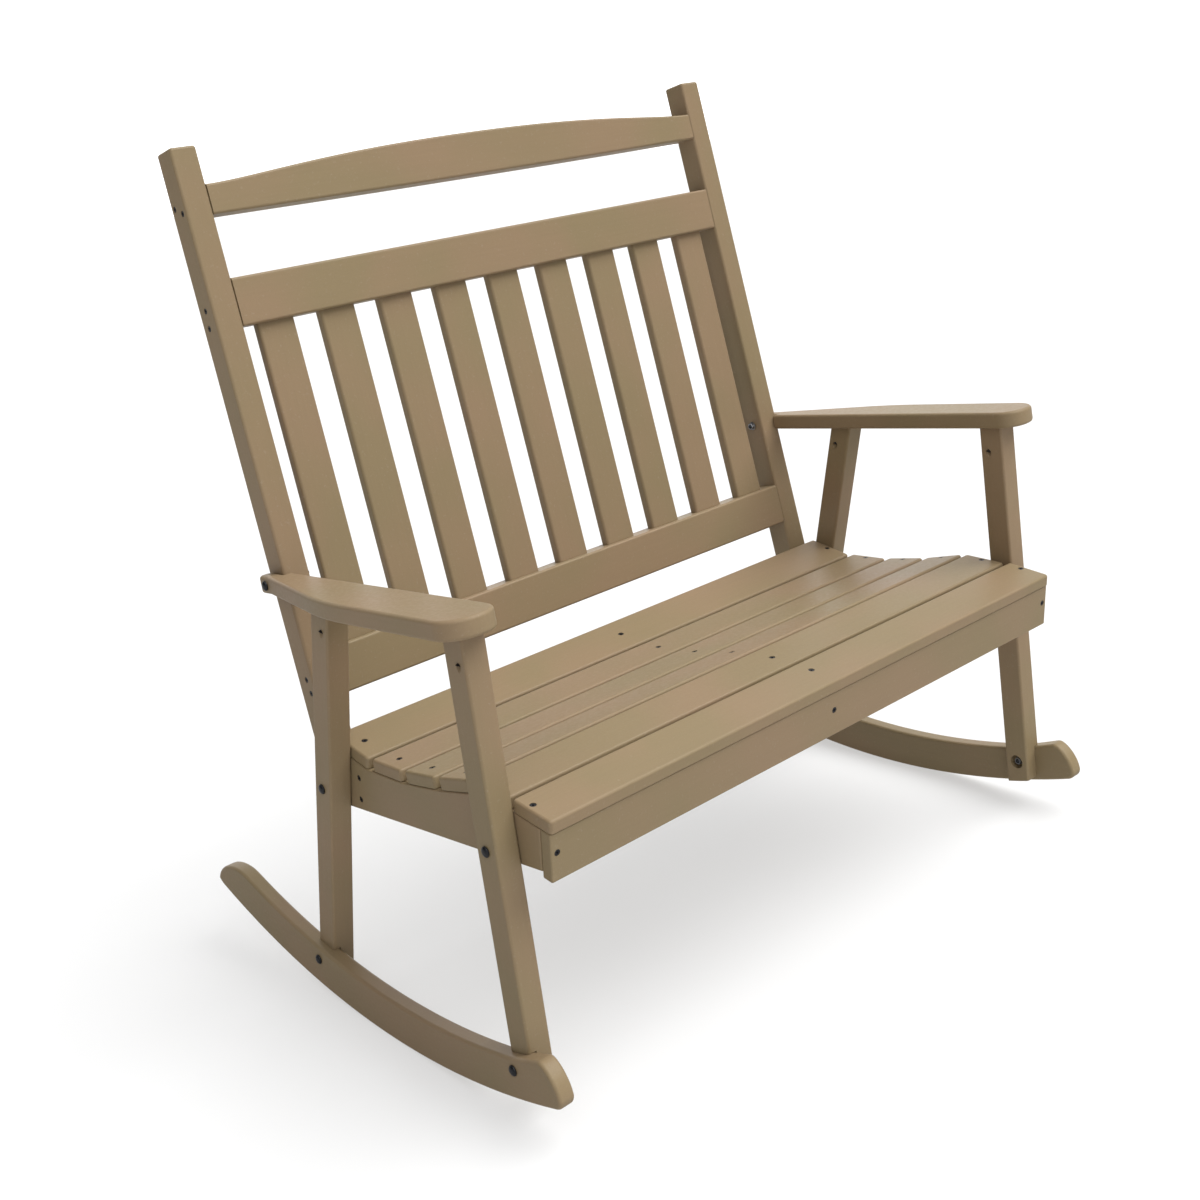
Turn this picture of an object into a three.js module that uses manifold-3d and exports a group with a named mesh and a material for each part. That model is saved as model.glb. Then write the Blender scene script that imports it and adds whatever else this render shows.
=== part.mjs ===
// Rocking bench for two, built of solid plastic boards with rounded edges, bolts and screws.
// The bench is drawn with its arms level: X along the bench, Y to the rear, Z up, zero at the
// front top edge of the seat. At the end it is tilted back to the angle at which it stands still.
// Right is +X and left is -X. All lengths are millimetres, all angles degrees.
import * as THREE from "three";
import { mergeVertices } from "three/addons/utils/BufferGeometryUtils.js";
import Module from "manifold-3d";

const wasm = await Module();
wasm.setup();

// Boards and clearances
const FRAME_THICK = 34; // legs and the middle seat support, across the bench
const POST_THICK = 38.5; // posts and the side plates below them, across the bench
const FRAME_WIDTH = 40; // legs, seen from the side
const POST_DEPTH = 43.5; // posts, seen from the side
const SLAT_THICK = 17.4; // slats, apron and stretcher
const RAIL_THICK = 38; // rails of the back, front to rear
const RAIL_DEPTH = 67; // the same rails along the posts
const ARM_THICK = 25;
const ROCKER_THICK = 23.5;
const JOINT_GAP = 0.3; // between boards that touch
const HALF_GAP = JOINT_GAP / 2;
const CUT_OVERRUN = 30; // how far cutting bodies run past what they cut
const EASE = 3.5; // rounding of long edges
const END_EASE = 3; // rounding of sawn ends
const BROAD_EASE = 4.5; // rounding of the arms and rockers
const EASE_STEPS = 2;
const CORNER_STEPS = 2;
const SAME_POINT = 1e-4; // corners closer than this are one

// The plane where legs meet posts and seat supports, from the middle of the bench
const JOINT_PLANE = 488.5;
const LEG_INNER = JOINT_PLANE + HALF_GAP;
const LEG_OUTER = LEG_INNER + FRAME_THICK;
const POST_OUTER = JOINT_PLANE - HALF_GAP;
const POST_INNER = POST_OUTER - POST_THICK;
const BETWEEN_POSTS = POST_INNER - JOINT_GAP; // half length of what fits between the posts

// Rockers: two arcs, a blunt toe in front and a rounded tail behind
const ROCKER_LAP = 11; // depth of the rabbet in the legs that takes the rocker
const ROCKER_INNER = LEG_OUTER - ROCKER_LAP;
const ROCKER_OUTER = ROCKER_INNER + ROCKER_THICK;
const REST_TILT = 3.5; // the bench stands still tilted this far back from level arms
const SOLE = { y: 336.8, z: 954, radius: 1337.4 };
const SOLE_STEP = 2; // each facet of the sole turns this far, one of them lies on the floor
const ROCKER_DEPTH = 60.1; // from the sole's lowest point to the top arc's
const ROCKER_TOP = { y: 310, radius: 1285 }; // its centre lies so high that the depth is right
const ROCKER_TOP_STEPS = 16;
const ROCKER_FRONT = 20; // the toe's foot, from the seat front
const ROCKER_LENGTH = 871;
const TOE_FOOT = { setback: 0, rise: 3.3, radius: 8 }; // from the rocker's end, and above the sole or the top arc
const TOE_TOP = { setback: 19, rise: 3.6, radius: 10 };
const TAIL_TOP = { setback: 55, rise: -9.8, radius: 35 };
const TAIL_FOOT = { setback: 4, rise: 4, radius: 6 };
const ARC_CLEAR = 30; // the arcs end this far from the corners of toe and tail
const LEG_CLEAR_OF_FLOOR = 8; // leg ends stop this far above the rocker's sole

// Legs: centre at the height of the seat front, and how far the top leans to the front
// and the heights of their bolts. The bolts lie on the legs' centre lines.
const FRONT_LEG = { name: "front", y: 87.3, lean: 3.8, seatBolt: -41, rockerBolt: -323 };
const REAR_LEG = { name: "rear", y: 460.9, lean: 20.7, seatBolt: -38, rockerBolt: -315 };

// Arms
const ARM_UNDERSIDE = 228;
const ARM_FRONT = 19.5;
const ARM_OVERHANG = 10.5; // the arm's inner edge lies this far inside the joint plane
const ARM_WIDTH = 75.5;
const ARM_TAIL_WIDTH = 19.5;
const ARM_TAIL_AHEAD = 8; // the tail is parallel from so far ahead of its bolt to so far behind it
const ARM_TAIL_BEHIND = 18.5;
const ARM_BEND_START = 260;
const ARM_BEND_RADIUS = 500;
const ARM_BEND_ANGLE = 13.2;
const ARM_BEND_STEPS = 4;
const ARM_INNER_CORNER = 31;
const ARM_OUTER_CORNER = 40;
const ARM_TAIL_CORNER = 7;

// Seat slats from the front: how they slope up to the rear. The last one is wider.
const SEAT_SLOPES = [12.3, 7.2, -8.2, -4.2, 2, 15.6];
const SEAT_SLAT_WIDTH = 70;
const SEAT_LAST_WIDTH = 81.5;
const SEAT_GAP = 10.2; // between slats, front to rear
const SEAT_STEP = 1; // each slat starts this far below the one before it
const SEAT_END_GAP = 1; // from the ends of the slats and the apron to the joint plane
const SEAT_CORNER = 5;

// Seat frame
const APRON_DEPTH = 65;
const APRON_SETBACK = 2.2; // behind the front edge of the front slat
const STRETCHER_DEPTH = 60;
const STRETCHER_AHEAD = 55.5; // its middle from the front of the posts, and below the seat front
const STRETCHER_DROP = 43.5;
const SUPPORT_BOTTOM_FRONT = -67.5; // height of the seat supports' lower edge at the apron
const SUPPORT_BOTTOM_SLOPE = -1.1;
const SUPPORT_EASE = 2;
const PLATE_SCREW_INSET = 10.5; // screws into the side plates, from the plates' outer faces

// Back: measured along the posts from the height of the seat front
const BACK_LEAN = 5.65;
const BACK_AT = 494.5; // front face of the posts at the height of the seat front
const POST_TOP = 841.5;
const POST_FOOT = -79;
const LOWER_RAIL_AT = 68.8; // its lower edge
const UPPER_RAIL_DROP = 249.2; // lower edges of the upper rails, from the post tops down
const CREST_RAIL_DROP = 96.5;
const CREST_DEPTH = 64.5; // in the middle
const CREST_END_DEPTH = 43.5;
const CREST_LEVEL_END = 25; // the arch runs out into a level end at each post
const CREST_ARCH_STEPS = 12;
const CREST_POWER = 2.6; // the arch falls away with this power of the distance from the middle
const BACK_SLATS = 9;
const BACK_SLAT_WIDTH = 57;
const BACK_SLAT_PITCH = 98.9;
const BACK_SLAT_EASE = 4.5;
const SLOT_DEPTH = 10; // slats are let into slots in the rails
const SLOT_FIT = 0.3;

// Carriage bolts, flange nuts and their holes
const BOLT_RADIUS = 3.2;
const BOLT_HEAD_RADIUS = 7.5;
const BOLT_HEAD_HEIGHT = 4.2;
const BOLT_RIM = 1; // straight edge of the domed head
const BOLT_DOME_STEPS = 3;
const BOLT_SIDES = 12;
const BOLT_HOLE_RADIUS = 3.7;
const BOLT_CHAMFER = 0.8;
const BOLT_PAST_NUT = 2;
const NUT_ACROSS = 10;
const NUT_HEIGHT = 6.5;
const NUT_FLANGE_RADIUS = 7;
const NUT_FLANGE_HEIGHT = 1.4;
const NUT_SIDES = 18;
const NUT_BORE_RADIUS = 3.55;
const RECESS_RADIUS = 11; // counterbore for the nut in the inner face of each leg
const RECESS_DEPTH = 10;
const RECESS_SIDES = 20;

// Countersunk screws
const SCREW_RADIUS = 2.2;
const SCREW_HEAD_RADIUS = 4.2;
const SCREW_HEAD_HEIGHT = 2.6;
const SCREW_LENGTH = 50;
const SCREW_TIP = 4;
const SCREW_SIDES = 10;
const SCREW_FIT = 0.3;
const SCREW_SINK = 0.4; // head below the face
const APRON_SCREW_DROP = 26; // below the apron's top edge
const STRETCHER_SCREW_OFFSET = 16.5; // above and below the stretcher's middle

// Colours
const BOARD_COLOR = 0x9c8767;
const BOLT_COLOR = 0x26272a;
const NUT_COLOR = 0x8f9194;

const rad = THREE.MathUtils.degToRad;
const QUARTER_TURN = 90;
const HEX_SIDES = 6;
const HEX_HALF_SIDE = 180 / HEX_SIDES; // angle
const UNIT_X = new THREE.Vector3(1, 0, 0);
const UNIT_Y = new THREE.Vector3(0, 1, 0);
const UNIT_Z = new THREE.Vector3(0, 0, 1);

// Outlines

// Points of an arc from one angle to another, angles measured from straight down to +Y.
function soleArc(circle, from, to, steps, radius = circle.radius) {
  return Array.from({ length: steps + 1 }, (_, i) => {
    const turn = rad(from + ((to - from) * i) / steps);
    return [circle.y + radius * Math.sin(turn), circle.z - radius * Math.cos(turn)];
  });
}

// Angle from straight down at which an arc reaches a distance from the seat front.
function angleAt(circle, y) {
  return THREE.MathUtils.radToDeg(Math.asin((y - circle.y) / circle.radius));
}

// An outline whose corners are rounded: each entry is a bare point or { at, radius }.
function rounded(corners) {
  const at = (c) => new THREE.Vector2(...(Array.isArray(c) ? c : c.at));
  const points = [];
  corners.forEach((corner, i) => {
    const here = at(corner);
    if (!corner.radius) {
      points.push(here);
      return;
    }
    const back = at(corners.at(i - 1)).sub(here).normalize();
    const ahead = at(corners[(i + 1) % corners.length]).sub(here).normalize();
    const half = Math.acos(THREE.MathUtils.clamp(back.dot(ahead), -1, 1)) / 2;
    const middle = back.clone().add(ahead).normalize();
    const centre = here.clone().addScaledVector(middle, corner.radius / Math.sin(half));
    const start = here.clone().addScaledVector(back, corner.radius / Math.tan(half)).sub(centre);
    const end = here.clone().addScaledVector(ahead, corner.radius / Math.tan(half)).sub(centre);
    const turn = Math.atan2(start.cross(end), start.dot(end));
    for (let k = 0; k <= CORNER_STEPS; k++) {
      points.push(start.clone().rotateAround(new THREE.Vector2(), (turn * k) / CORNER_STEPS).add(centre));
    }
  });
  return new THREE.Shape(points);
}

// A rectangle around zero with rounded corners.
function section(width, height, radius) {
  const [w, h] = [width / 2, height / 2];
  return rounded([[-w, -h], [w, -h], [w, h], [-w, h]].map((at) => ({ at, radius })));
}

// Solids

// An outline drawn out along a direction: across and up are the outline's own axes in space.
function drawn(shape, length, ease, across, up, origin) {
  const geometry = new THREE.ExtrudeGeometry(shape, {
    depth: length - 2 * ease,
    bevelEnabled: ease > 0,
    bevelSize: ease,
    bevelThickness: ease,
    bevelOffset: -ease,
    bevelSegments: EASE_STEPS,
  });
  const along = across.clone().cross(up);
  const basis = new THREE.Matrix4().makeBasis(across, up, along);
  basis.setPosition(origin.clone().addScaledVector(along, ease));
  return geometry.applyMatrix4(basis);
}

// An outline in the side view, from one distance across the bench to another.
function sideBoard(shape, inner, outer, ease) {
  return drawn(shape, outer - inner, ease, UNIT_Y, UNIT_Z, new THREE.Vector3(inner, 0, 0));
}

function toSolid(geometry) {
  const bare = geometry.clone();
  bare.deleteAttribute("normal");
  bare.deleteAttribute("uv");
  const merged = mergeVertices(bare, SAME_POINT);
  const mesh = new wasm.Mesh({
    numProp: 3,
    vertProperties: new Float32Array(merged.attributes.position.array),
    triVerts: new Uint32Array(merged.index.array),
  });
  return new wasm.Manifold(mesh);
}

function fromSolid(solid) {
  const { vertProperties, triVerts } = solid.getMesh();
  const geometry = new THREE.BufferGeometry();
  geometry.setAttribute("position", new THREE.BufferAttribute(vertProperties, 3));
  geometry.setIndex(new THREE.BufferAttribute(triVerts, 1));
  return geometry;
}

// A geometry less a list of others.
function without(geometry, cutters) {
  return fromSolid(cutters.reduce((left, cutter) => left.subtract(toSolid(cutter)), toSolid(geometry)));
}

function joined(a, b) {
  return fromSolid(toSolid(a).add(toSolid(b)));
}

// A turned body: its profile's axis is laid along a direction from a point.
function turned(profile, sides, point, direction) {
  const geometry = new THREE.LatheGeometry(profile.map(([r, h]) => new THREE.Vector2(r, h)), sides);
  const turn = new THREE.Quaternion().setFromUnitVectors(UNIT_Y, direction);
  return geometry.applyQuaternion(turn).translate(point.x, point.y, point.z);
}

// A plain round hole from a point along a direction.
function hole(radius, length, sides, point, direction) {
  const profile = [[0, 0], [radius, 0], [radius, length], [0, length]];
  return turned(profile, sides, point, direction);
}

function pointAt(x, [y, z]) {
  return new THREE.Vector3(x, y, z);
}

// Group and materials

const boardMaterial = { color: BOARD_COLOR, roughness: 0.72, metalness: 0 };
const boltMaterial = { color: BOLT_COLOR, roughness: 0.35, metalness: 0.8 };
const nutMaterial = { color: NUT_COLOR, roughness: 0.4, metalness: 0.9 };

function place(parent, name, geometry, material) {
  geometry.computeVertexNormals();
  const mesh = new THREE.Mesh(geometry, new THREE.MeshStandardMaterial(material));
  mesh.name = name;
  parent.add(mesh);
}

const bench = new THREE.Group();

// Each side is drawn on the right; the left one is its mirror image.
const sides = [
  { name: "left", group: new THREE.Group() },
  { name: "right", group: new THREE.Group() },
];
sides[0].group.scale.x = -1;
sides.forEach(({ group }) => bench.add(group));

function placeOnBothSides(name, geometry, material) {
  sides.forEach((side) => place(side.group, `${side.name}_${name}`, geometry.clone(), material));
}

// Bolts: head face and nut face are distances from the middle of the bench

function boltHole(at, from, to) {
  const start = pointAt(from - CUT_OVERRUN, at);
  return hole(BOLT_HOLE_RADIUS, to - from + 2 * CUT_OVERRUN, BOLT_SIDES, start, UNIT_X);
}

function addBolt(name, at, headFace, nutFace) {
  const head = headFace + JOINT_GAP;
  const nut = nutFace - JOINT_GAP;
  const tip = nut - NUT_HEIGHT - BOLT_PAST_NUT;
  const shank = head - tip;
  const dome = Array.from({ length: BOLT_DOME_STEPS + 1 }, (_, i) => {
    const turn = rad((QUARTER_TURN * i) / BOLT_DOME_STEPS);
    const rise = (BOLT_HEAD_HEIGHT - BOLT_RIM) * Math.sin(turn);
    return [i === BOLT_DOME_STEPS ? 0 : BOLT_HEAD_RADIUS * Math.cos(turn), shank + BOLT_RIM + rise];
  });
  const profile = [
    [0, 0],
    [BOLT_RADIUS - BOLT_CHAMFER, 0],
    [BOLT_RADIUS, BOLT_CHAMFER],
    [BOLT_RADIUS, shank],
    [BOLT_HEAD_RADIUS, shank],
    ...dome,
  ];
  placeOnBothSides(`${name}_bolt`, turned(profile, BOLT_SIDES, pointAt(tip, at), UNIT_X), boltMaterial);

  const inward = UNIT_X.clone().negate();
  const flange = hole(NUT_FLANGE_RADIUS, NUT_FLANGE_HEIGHT, NUT_SIDES, pointAt(nut, at), inward);
  const hexRadius = NUT_ACROSS / 2 / Math.cos(rad(HEX_HALF_SIDE));
  const hex = hole(hexRadius, NUT_HEIGHT, HEX_SIDES, pointAt(nut, at), inward);
  const bore = hole(NUT_BORE_RADIUS, NUT_HEIGHT + 2 * CUT_OVERRUN, BOLT_SIDES,
    pointAt(nut + CUT_OVERRUN, at), inward);
  placeOnBothSides(`${name}_nut`, without(joined(flange, hex), [bore]), nutMaterial);
}

// Screws: the head lies in the face at a point, the shank runs along a direction

function screwBody(point, direction, fit) {
  const profile = [
    [0, -fit],
    [SCREW_HEAD_RADIUS + fit, -fit],
    [SCREW_RADIUS + fit, SCREW_HEAD_HEIGHT],
    [SCREW_RADIUS + fit, SCREW_LENGTH - SCREW_TIP],
    [0, SCREW_LENGTH + fit],
  ];
  const head = point.clone().addScaledVector(direction, SCREW_SINK);
  return turned(profile, SCREW_SIDES, head, direction);
}

// A screw's hole, opened up to the face above the head.
function screwHole(point, direction) {
  const above = point.clone().addScaledVector(direction, -CUT_OVERRUN);
  const way = hole(SCREW_HEAD_RADIUS + SCREW_FIT, CUT_OVERRUN + SCREW_SINK, SCREW_SIDES, above, direction);
  return joined(screwBody(point, direction, SCREW_FIT), way);
}

// Rockers

const rockerTop = { ...ROCKER_TOP, z: SOLE.z - SOLE.radius + ROCKER_DEPTH + ROCKER_TOP.radius };
const rockerRear = ROCKER_FRONT + ROCKER_LENGTH;

// Height of an arc at a distance from the seat front.
function heightOn(circle, y) {
  return circle.z - circle.radius * Math.cos(rad(angleAt(circle, y)));
}

// A corner of the rocker's outline at its front or rear end.
function endCorner({ setback, rise, radius }, circle, atRear) {
  const y = atRear ? rockerRear - setback : ROCKER_FRONT + setback;
  return { at: [y, heightOn(circle, y) + rise], radius };
}

// The rocker's top arc, from rear to front, at a distance below it.
function topArc(below) {
  const from = angleAt(rockerTop, rockerRear - TAIL_TOP.setback - ARC_CLEAR);
  const to = angleAt(rockerTop, ROCKER_FRONT + TOE_TOP.setback + ARC_CLEAR);
  return soleArc(rockerTop, from, to, ROCKER_TOP_STEPS, rockerTop.radius + below);
}

function rockerOutline() {
  const half = SOLE_STEP / 2;
  const front = angleAt(SOLE, ROCKER_FRONT + ARC_CLEAR);
  const rear = angleAt(SOLE, rockerRear - ARC_CLEAR);
  const ahead = Math.floor((REST_TILT - half - front) / SOLE_STEP);
  const behind = Math.floor((rear - REST_TILT - half) / SOLE_STEP);
  const first = REST_TILT - half - SOLE_STEP * ahead;
  const last = REST_TILT + half + SOLE_STEP * behind;
  // The facets touch the arc in their middles, so their corners lie a little outside it.
  const sole = soleArc(SOLE, first, last, ahead + behind + 1, SOLE.radius / Math.cos(rad(half)));
  return rounded([
    ...sole,
    endCorner(TAIL_FOOT, SOLE, true),
    endCorner(TAIL_TOP, rockerTop, true),
    ...topArc(0),
    endCorner(TOE_TOP, rockerTop, false),
    endCorner(TOE_FOOT, SOLE, false),
  ]);
}

// What the rocker takes away from the legs: everything outside the lap, below the rocker's top.
function lapCutter() {
  const top = topArc(-JOINT_GAP);
  const floor = SOLE.z - SOLE.radius - CUT_OVERRUN;
  const outline = [[top.at(-1)[0], floor], [top[0][0], floor], ...top];
  const shape = new THREE.Shape(outline.map((p) => new THREE.Vector2(...p)));
  return sideBoard(shape, ROCKER_INNER - JOINT_GAP, ROCKER_OUTER + CUT_OVERRUN, 0);
}

// What is cut off the legs' lower ends, a band along the sole.
function footCutter() {
  const rise = SOLE.radius - LEG_CLEAR_OF_FLOOR;
  const edge = soleArc(SOLE, angleAt(SOLE, 0), angleAt(SOLE, rockerRear), ROCKER_TOP_STEPS, rise);
  const deep = SOLE.z - SOLE.radius - LEG_OUTER;
  const outline = [...edge, [edge.at(-1)[0], deep], [edge[0][0], deep]];
  const shape = new THREE.Shape(outline.map((p) => new THREE.Vector2(...p)).reverse());
  return sideBoard(shape, LEG_INNER - CUT_OVERRUN, LEG_OUTER + CUT_OVERRUN, 0);
}

// Where a leg's centre line is at a height.
function onLeg({ y, lean }, height) {
  return [y - height * Math.tan(rad(lean)), height];
}

const rocker = sideBoard(rockerOutline(), ROCKER_INNER, ROCKER_OUTER, BROAD_EASE);
const rockerBolts = [FRONT_LEG, REAR_LEG].map((leg) => onLeg(leg, leg.rockerBolt));
const seatBolts = [FRONT_LEG, REAR_LEG].map((leg) => onLeg(leg, leg.seatBolt));
const rockerHoles = rockerBolts.map((at) => boltHole(at, ROCKER_INNER, ROCKER_OUTER));
placeOnBothSides("rocker", without(rocker, rockerHoles), boardMaterial);

// Legs

// Everything above the underside of the arm.
function aboveLegs() {
  const height = ARM_UNDERSIDE - JOINT_GAP;
  const shape = new THREE.Shape([
    new THREE.Vector2(0, height),
    new THREE.Vector2(rockerRear, height),
    new THREE.Vector2(rockerRear, height + 4 * CUT_OVERRUN),
    new THREE.Vector2(0, height + 4 * CUT_OVERRUN),
  ]);
  return sideBoard(shape, LEG_INNER - CUT_OVERRUN, LEG_OUTER + CUT_OVERRUN, 0);
}

function addLeg({ name, y, lean }, seatBolt, rockerBolt) {
  const up = new THREE.Vector3(0, -Math.sin(rad(lean)), Math.cos(rad(lean)));
  const down = SOLE.radius - SOLE.z + 2 * CUT_OVERRUN;
  const length = down + ARM_UNDERSIDE + 2 * CUT_OVERRUN;
  const start = new THREE.Vector3(LEG_INNER + FRAME_THICK / 2, y, 0).addScaledVector(up, -down);
  const across = up.clone().cross(UNIT_X);
  const blank = drawn(section(FRAME_THICK, FRAME_WIDTH, EASE), length, 0, UNIT_X, across, start);
  const recess = hole(RECESS_RADIUS, CUT_OVERRUN + RECESS_DEPTH, RECESS_SIDES,
    pointAt(LEG_INNER - CUT_OVERRUN, rockerBolt), UNIT_X);
  const cutters = [aboveLegs(), footCutter(), lapCutter(), recess];
  [seatBolt, rockerBolt].forEach((at) => cutters.push(boltHole(at, LEG_INNER, LEG_OUTER)));
  placeOnBothSides(`${name}_leg`, without(blank, cutters), boardMaterial);
  addBolt(`${name}_leg`, seatBolt, LEG_OUTER, POST_INNER);
  addBolt(`${name}_rocker`, rockerBolt, ROCKER_OUTER, LEG_INNER + RECESS_DEPTH);
}

[FRONT_LEG, REAR_LEG].forEach((leg, i) => addLeg(leg, seatBolts[i], rockerBolts[i]));

// Arms

const postUp = new THREE.Vector3(0, Math.sin(rad(BACK_LEAN)), Math.cos(rad(BACK_LEAN)));
const postBack = new THREE.Vector3(0, Math.cos(rad(BACK_LEAN)), -Math.sin(rad(BACK_LEAN)));
const backFoot = new THREE.Vector3(0, BACK_AT, 0); // front of the back, where its measures start
const postMiddle = backFoot.clone().addScaledVector(postBack, POST_DEPTH / 2);

// Where a line along the posts through a point is at a height.
function postLine(point, height) {
  return point.y + (height - point.z) * Math.tan(rad(BACK_LEAN));
}

// The arm is notched for the post, and its bolt goes through the post's centre line.
const armInner = JOINT_PLANE - ARM_OVERHANG;
const armOuter = armInner + ARM_WIDTH;
const armNotch = postLine(backFoot, ARM_UNDERSIDE) - 2 * JOINT_GAP;
const armBoltHeight = ARM_UNDERSIDE + ARM_THICK / 2;
const armBolt = [postLine(postMiddle, armBoltHeight), armBoltHeight];
const armRear = armBolt[0] + ARM_TAIL_BEHIND;
const armBoltFace = LEG_INNER + ARM_TAIL_WIDTH;

function armOutline() {
  const bend = Array.from({ length: ARM_BEND_STEPS + 1 }, (_, i) => {
    const turn = rad((ARM_BEND_ANGLE * i) / ARM_BEND_STEPS);
    const inset = ARM_BEND_RADIUS * (1 - Math.cos(turn));
    return [armOuter - inset, ARM_BEND_START + ARM_BEND_RADIUS * Math.sin(turn)];
  });
  return rounded([
    { at: [armInner, ARM_FRONT], radius: ARM_INNER_CORNER },
    { at: [armOuter, ARM_FRONT], radius: ARM_OUTER_CORNER },
    ...bend,
    [armBoltFace, armBolt[0] - ARM_TAIL_AHEAD],
    { at: [armBoltFace, armRear], radius: ARM_TAIL_CORNER },
    { at: [LEG_INNER, armRear], radius: ARM_TAIL_CORNER },
    [LEG_INNER, armNotch],
    [armInner, armNotch],
  ]);
}

const arm = drawn(armOutline(), ARM_THICK, BROAD_EASE, UNIT_X, UNIT_Y, new THREE.Vector3(0, 0, ARM_UNDERSIDE));
placeOnBothSides("arm", without(arm, [boltHole(armBolt, LEG_INNER, armBoltFace)]), boardMaterial);
addBolt("arm", armBolt, armBoltFace, POST_INNER);

// Seat slats

// A slat's directions and corner points in the side view.
function slatFrame({ at, width, slope }) {
  const back = new THREE.Vector3(0, Math.cos(rad(slope)), Math.sin(rad(slope)));
  const up = new THREE.Vector3(0, -Math.sin(rad(slope)), Math.cos(rad(slope)));
  const underFront = pointAt(0, at).addScaledVector(up, -SLAT_THICK);
  const underRear = underFront.clone().addScaledVector(back, width);
  return { back, up, underFront, underRear };
}

const seatLength = 2 * (JOINT_PLANE - SEAT_END_GAP);

// The slats in a row, each starting a gap behind the one before it.
const seatSlats = [];
SEAT_SLOPES.forEach((slope, i) => {
  const width = i < SEAT_SLOPES.length - 1 ? SEAT_SLAT_WIDTH : SEAT_LAST_WIDTH;
  const before = seatSlats.at(-1);
  const turn = before ? rad(before.slope) : 0;
  const at = before
    ? [
        before.at[0] + before.width * Math.cos(turn) + SEAT_GAP,
        before.at[1] + before.width * Math.sin(turn) - SEAT_STEP,
      ]
    : [0, 0];
  seatSlats.push({ at, width, slope });
});

seatSlats.forEach((slat, i) => {
  const { back, up, underFront } = slatFrame(slat);
  const middle = underFront.clone().addScaledVector(back, slat.width / 2);
  const shape = section(seatLength, slat.width, SEAT_CORNER);
  place(bench, `seat_slat_${i + 1}`, drawn(shape, SLAT_THICK, EASE, UNIT_X, back, middle), boardMaterial);
});

// Apron and stretcher, both square to the front slat

const apronDown = slatFrame(seatSlats[0]).up.clone().negate();
const apronBack = slatFrame(seatSlats[0]).back;
const apronTop = slatFrame(seatSlats[0])
  .underFront.clone()
  .addScaledVector(apronBack, APRON_SETBACK)
  .addScaledVector(apronDown, JOINT_GAP);

// A board across the bench whose section is thin along apronBack and deep along apronDown.
function crossBoard(middle, depth, length, ease) {
  const shape = section(SLAT_THICK, depth, EASE);
  const origin = middle.clone().addScaledVector(UNIT_X, -length / 2);
  return drawn(shape, length, ease, apronBack, apronDown.clone().negate(), origin);
}

const apronMiddle = apronTop
  .clone()
  .addScaledVector(apronDown, APRON_DEPTH / 2)
  .addScaledVector(apronBack, SLAT_THICK / 2);
const stretcherMiddle = pointAt(0, [postLine(backFoot, -STRETCHER_DROP) - STRETCHER_AHEAD, -STRETCHER_DROP]);
const apronScrewLine = apronTop.clone().addScaledVector(apronDown, APRON_SCREW_DROP);
const plateScrewsAt = POST_OUTER - PLATE_SCREW_INSET;
const apronScrews = [
  { name: "left", x: -plateScrewsAt },
  { name: "centre", x: 0 },
  { name: "right", x: plateScrewsAt },
].map(({ name, x }) => ({ name, point: apronScrewLine.clone().setX(x) }));

const apronHoles = apronScrews.map(({ point }) => screwHole(point, apronBack));
const apron = crossBoard(apronMiddle, APRON_DEPTH, seatLength, END_EASE);
place(bench, "front_apron", without(apron, apronHoles), boardMaterial);
apronScrews.forEach(({ name, point }) => {
  place(bench, `apron_screw_${name}`, screwBody(point, apronBack, 0), boltMaterial);
});

const stretcherScrews = [
  { name: "upper", offset: STRETCHER_SCREW_OFFSET },
  { name: "lower", offset: -STRETCHER_SCREW_OFFSET },
].map(({ name, offset }) => ({
  name,
  point: stretcherMiddle.clone().addScaledVector(apronDown, -offset).setX(POST_OUTER),
}));
const inward = UNIT_X.clone().negate();
const stretcherHoles = stretcherScrews.flatMap(({ point }) => [
  screwHole(point, inward),
  screwHole(point.clone().setX(-POST_OUTER), UNIT_X),
]);
const stretcher = crossBoard(stretcherMiddle, STRETCHER_DEPTH, 2 * BETWEEN_POSTS, 0);
place(bench, "rear_stretcher", without(stretcher, stretcherHoles), boardMaterial);
stretcherScrews.forEach(({ name, point }) => {
  placeOnBothSides(`stretcher_screw_${name}`, screwBody(point, inward, 0), boltMaterial);
});

// Seat supports: side plates and the one in the middle, hollowed to the slats

// Where a line through a point crosses the lower edge of the supports.
function onLowerEdge(point, direction) {
  const fall = Math.tan(rad(SUPPORT_BOTTOM_SLOPE));
  const start = apronTop.y;
  const gap = point.z - SUPPORT_BOTTOM_FRONT - fall * (point.y - start);
  const rate = fall * direction.y - direction.z;
  return point.clone().addScaledVector(direction, gap / rate);
}

function supportOutline(rearTop, rearDown) {
  const faceFront = apronTop.clone().addScaledVector(apronBack, SLAT_THICK + JOINT_GAP);
  const under = seatSlats.flatMap((slat) => {
    const { up, underFront, underRear } = slatFrame(slat);
    return [underFront, underRear].map((p) => p.addScaledVector(up, -JOINT_GAP));
  }).filter((p) => p.y > faceFront.y && p.y < rearTop.y);
  const outline = [onLowerEdge(faceFront, apronDown), onLowerEdge(rearTop, rearDown), rearTop];
  outline.push(...under.reverse(), faceFront);
  return new THREE.Shape(outline.map((p) => new THREE.Vector2(p.y, p.z)));
}

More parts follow.
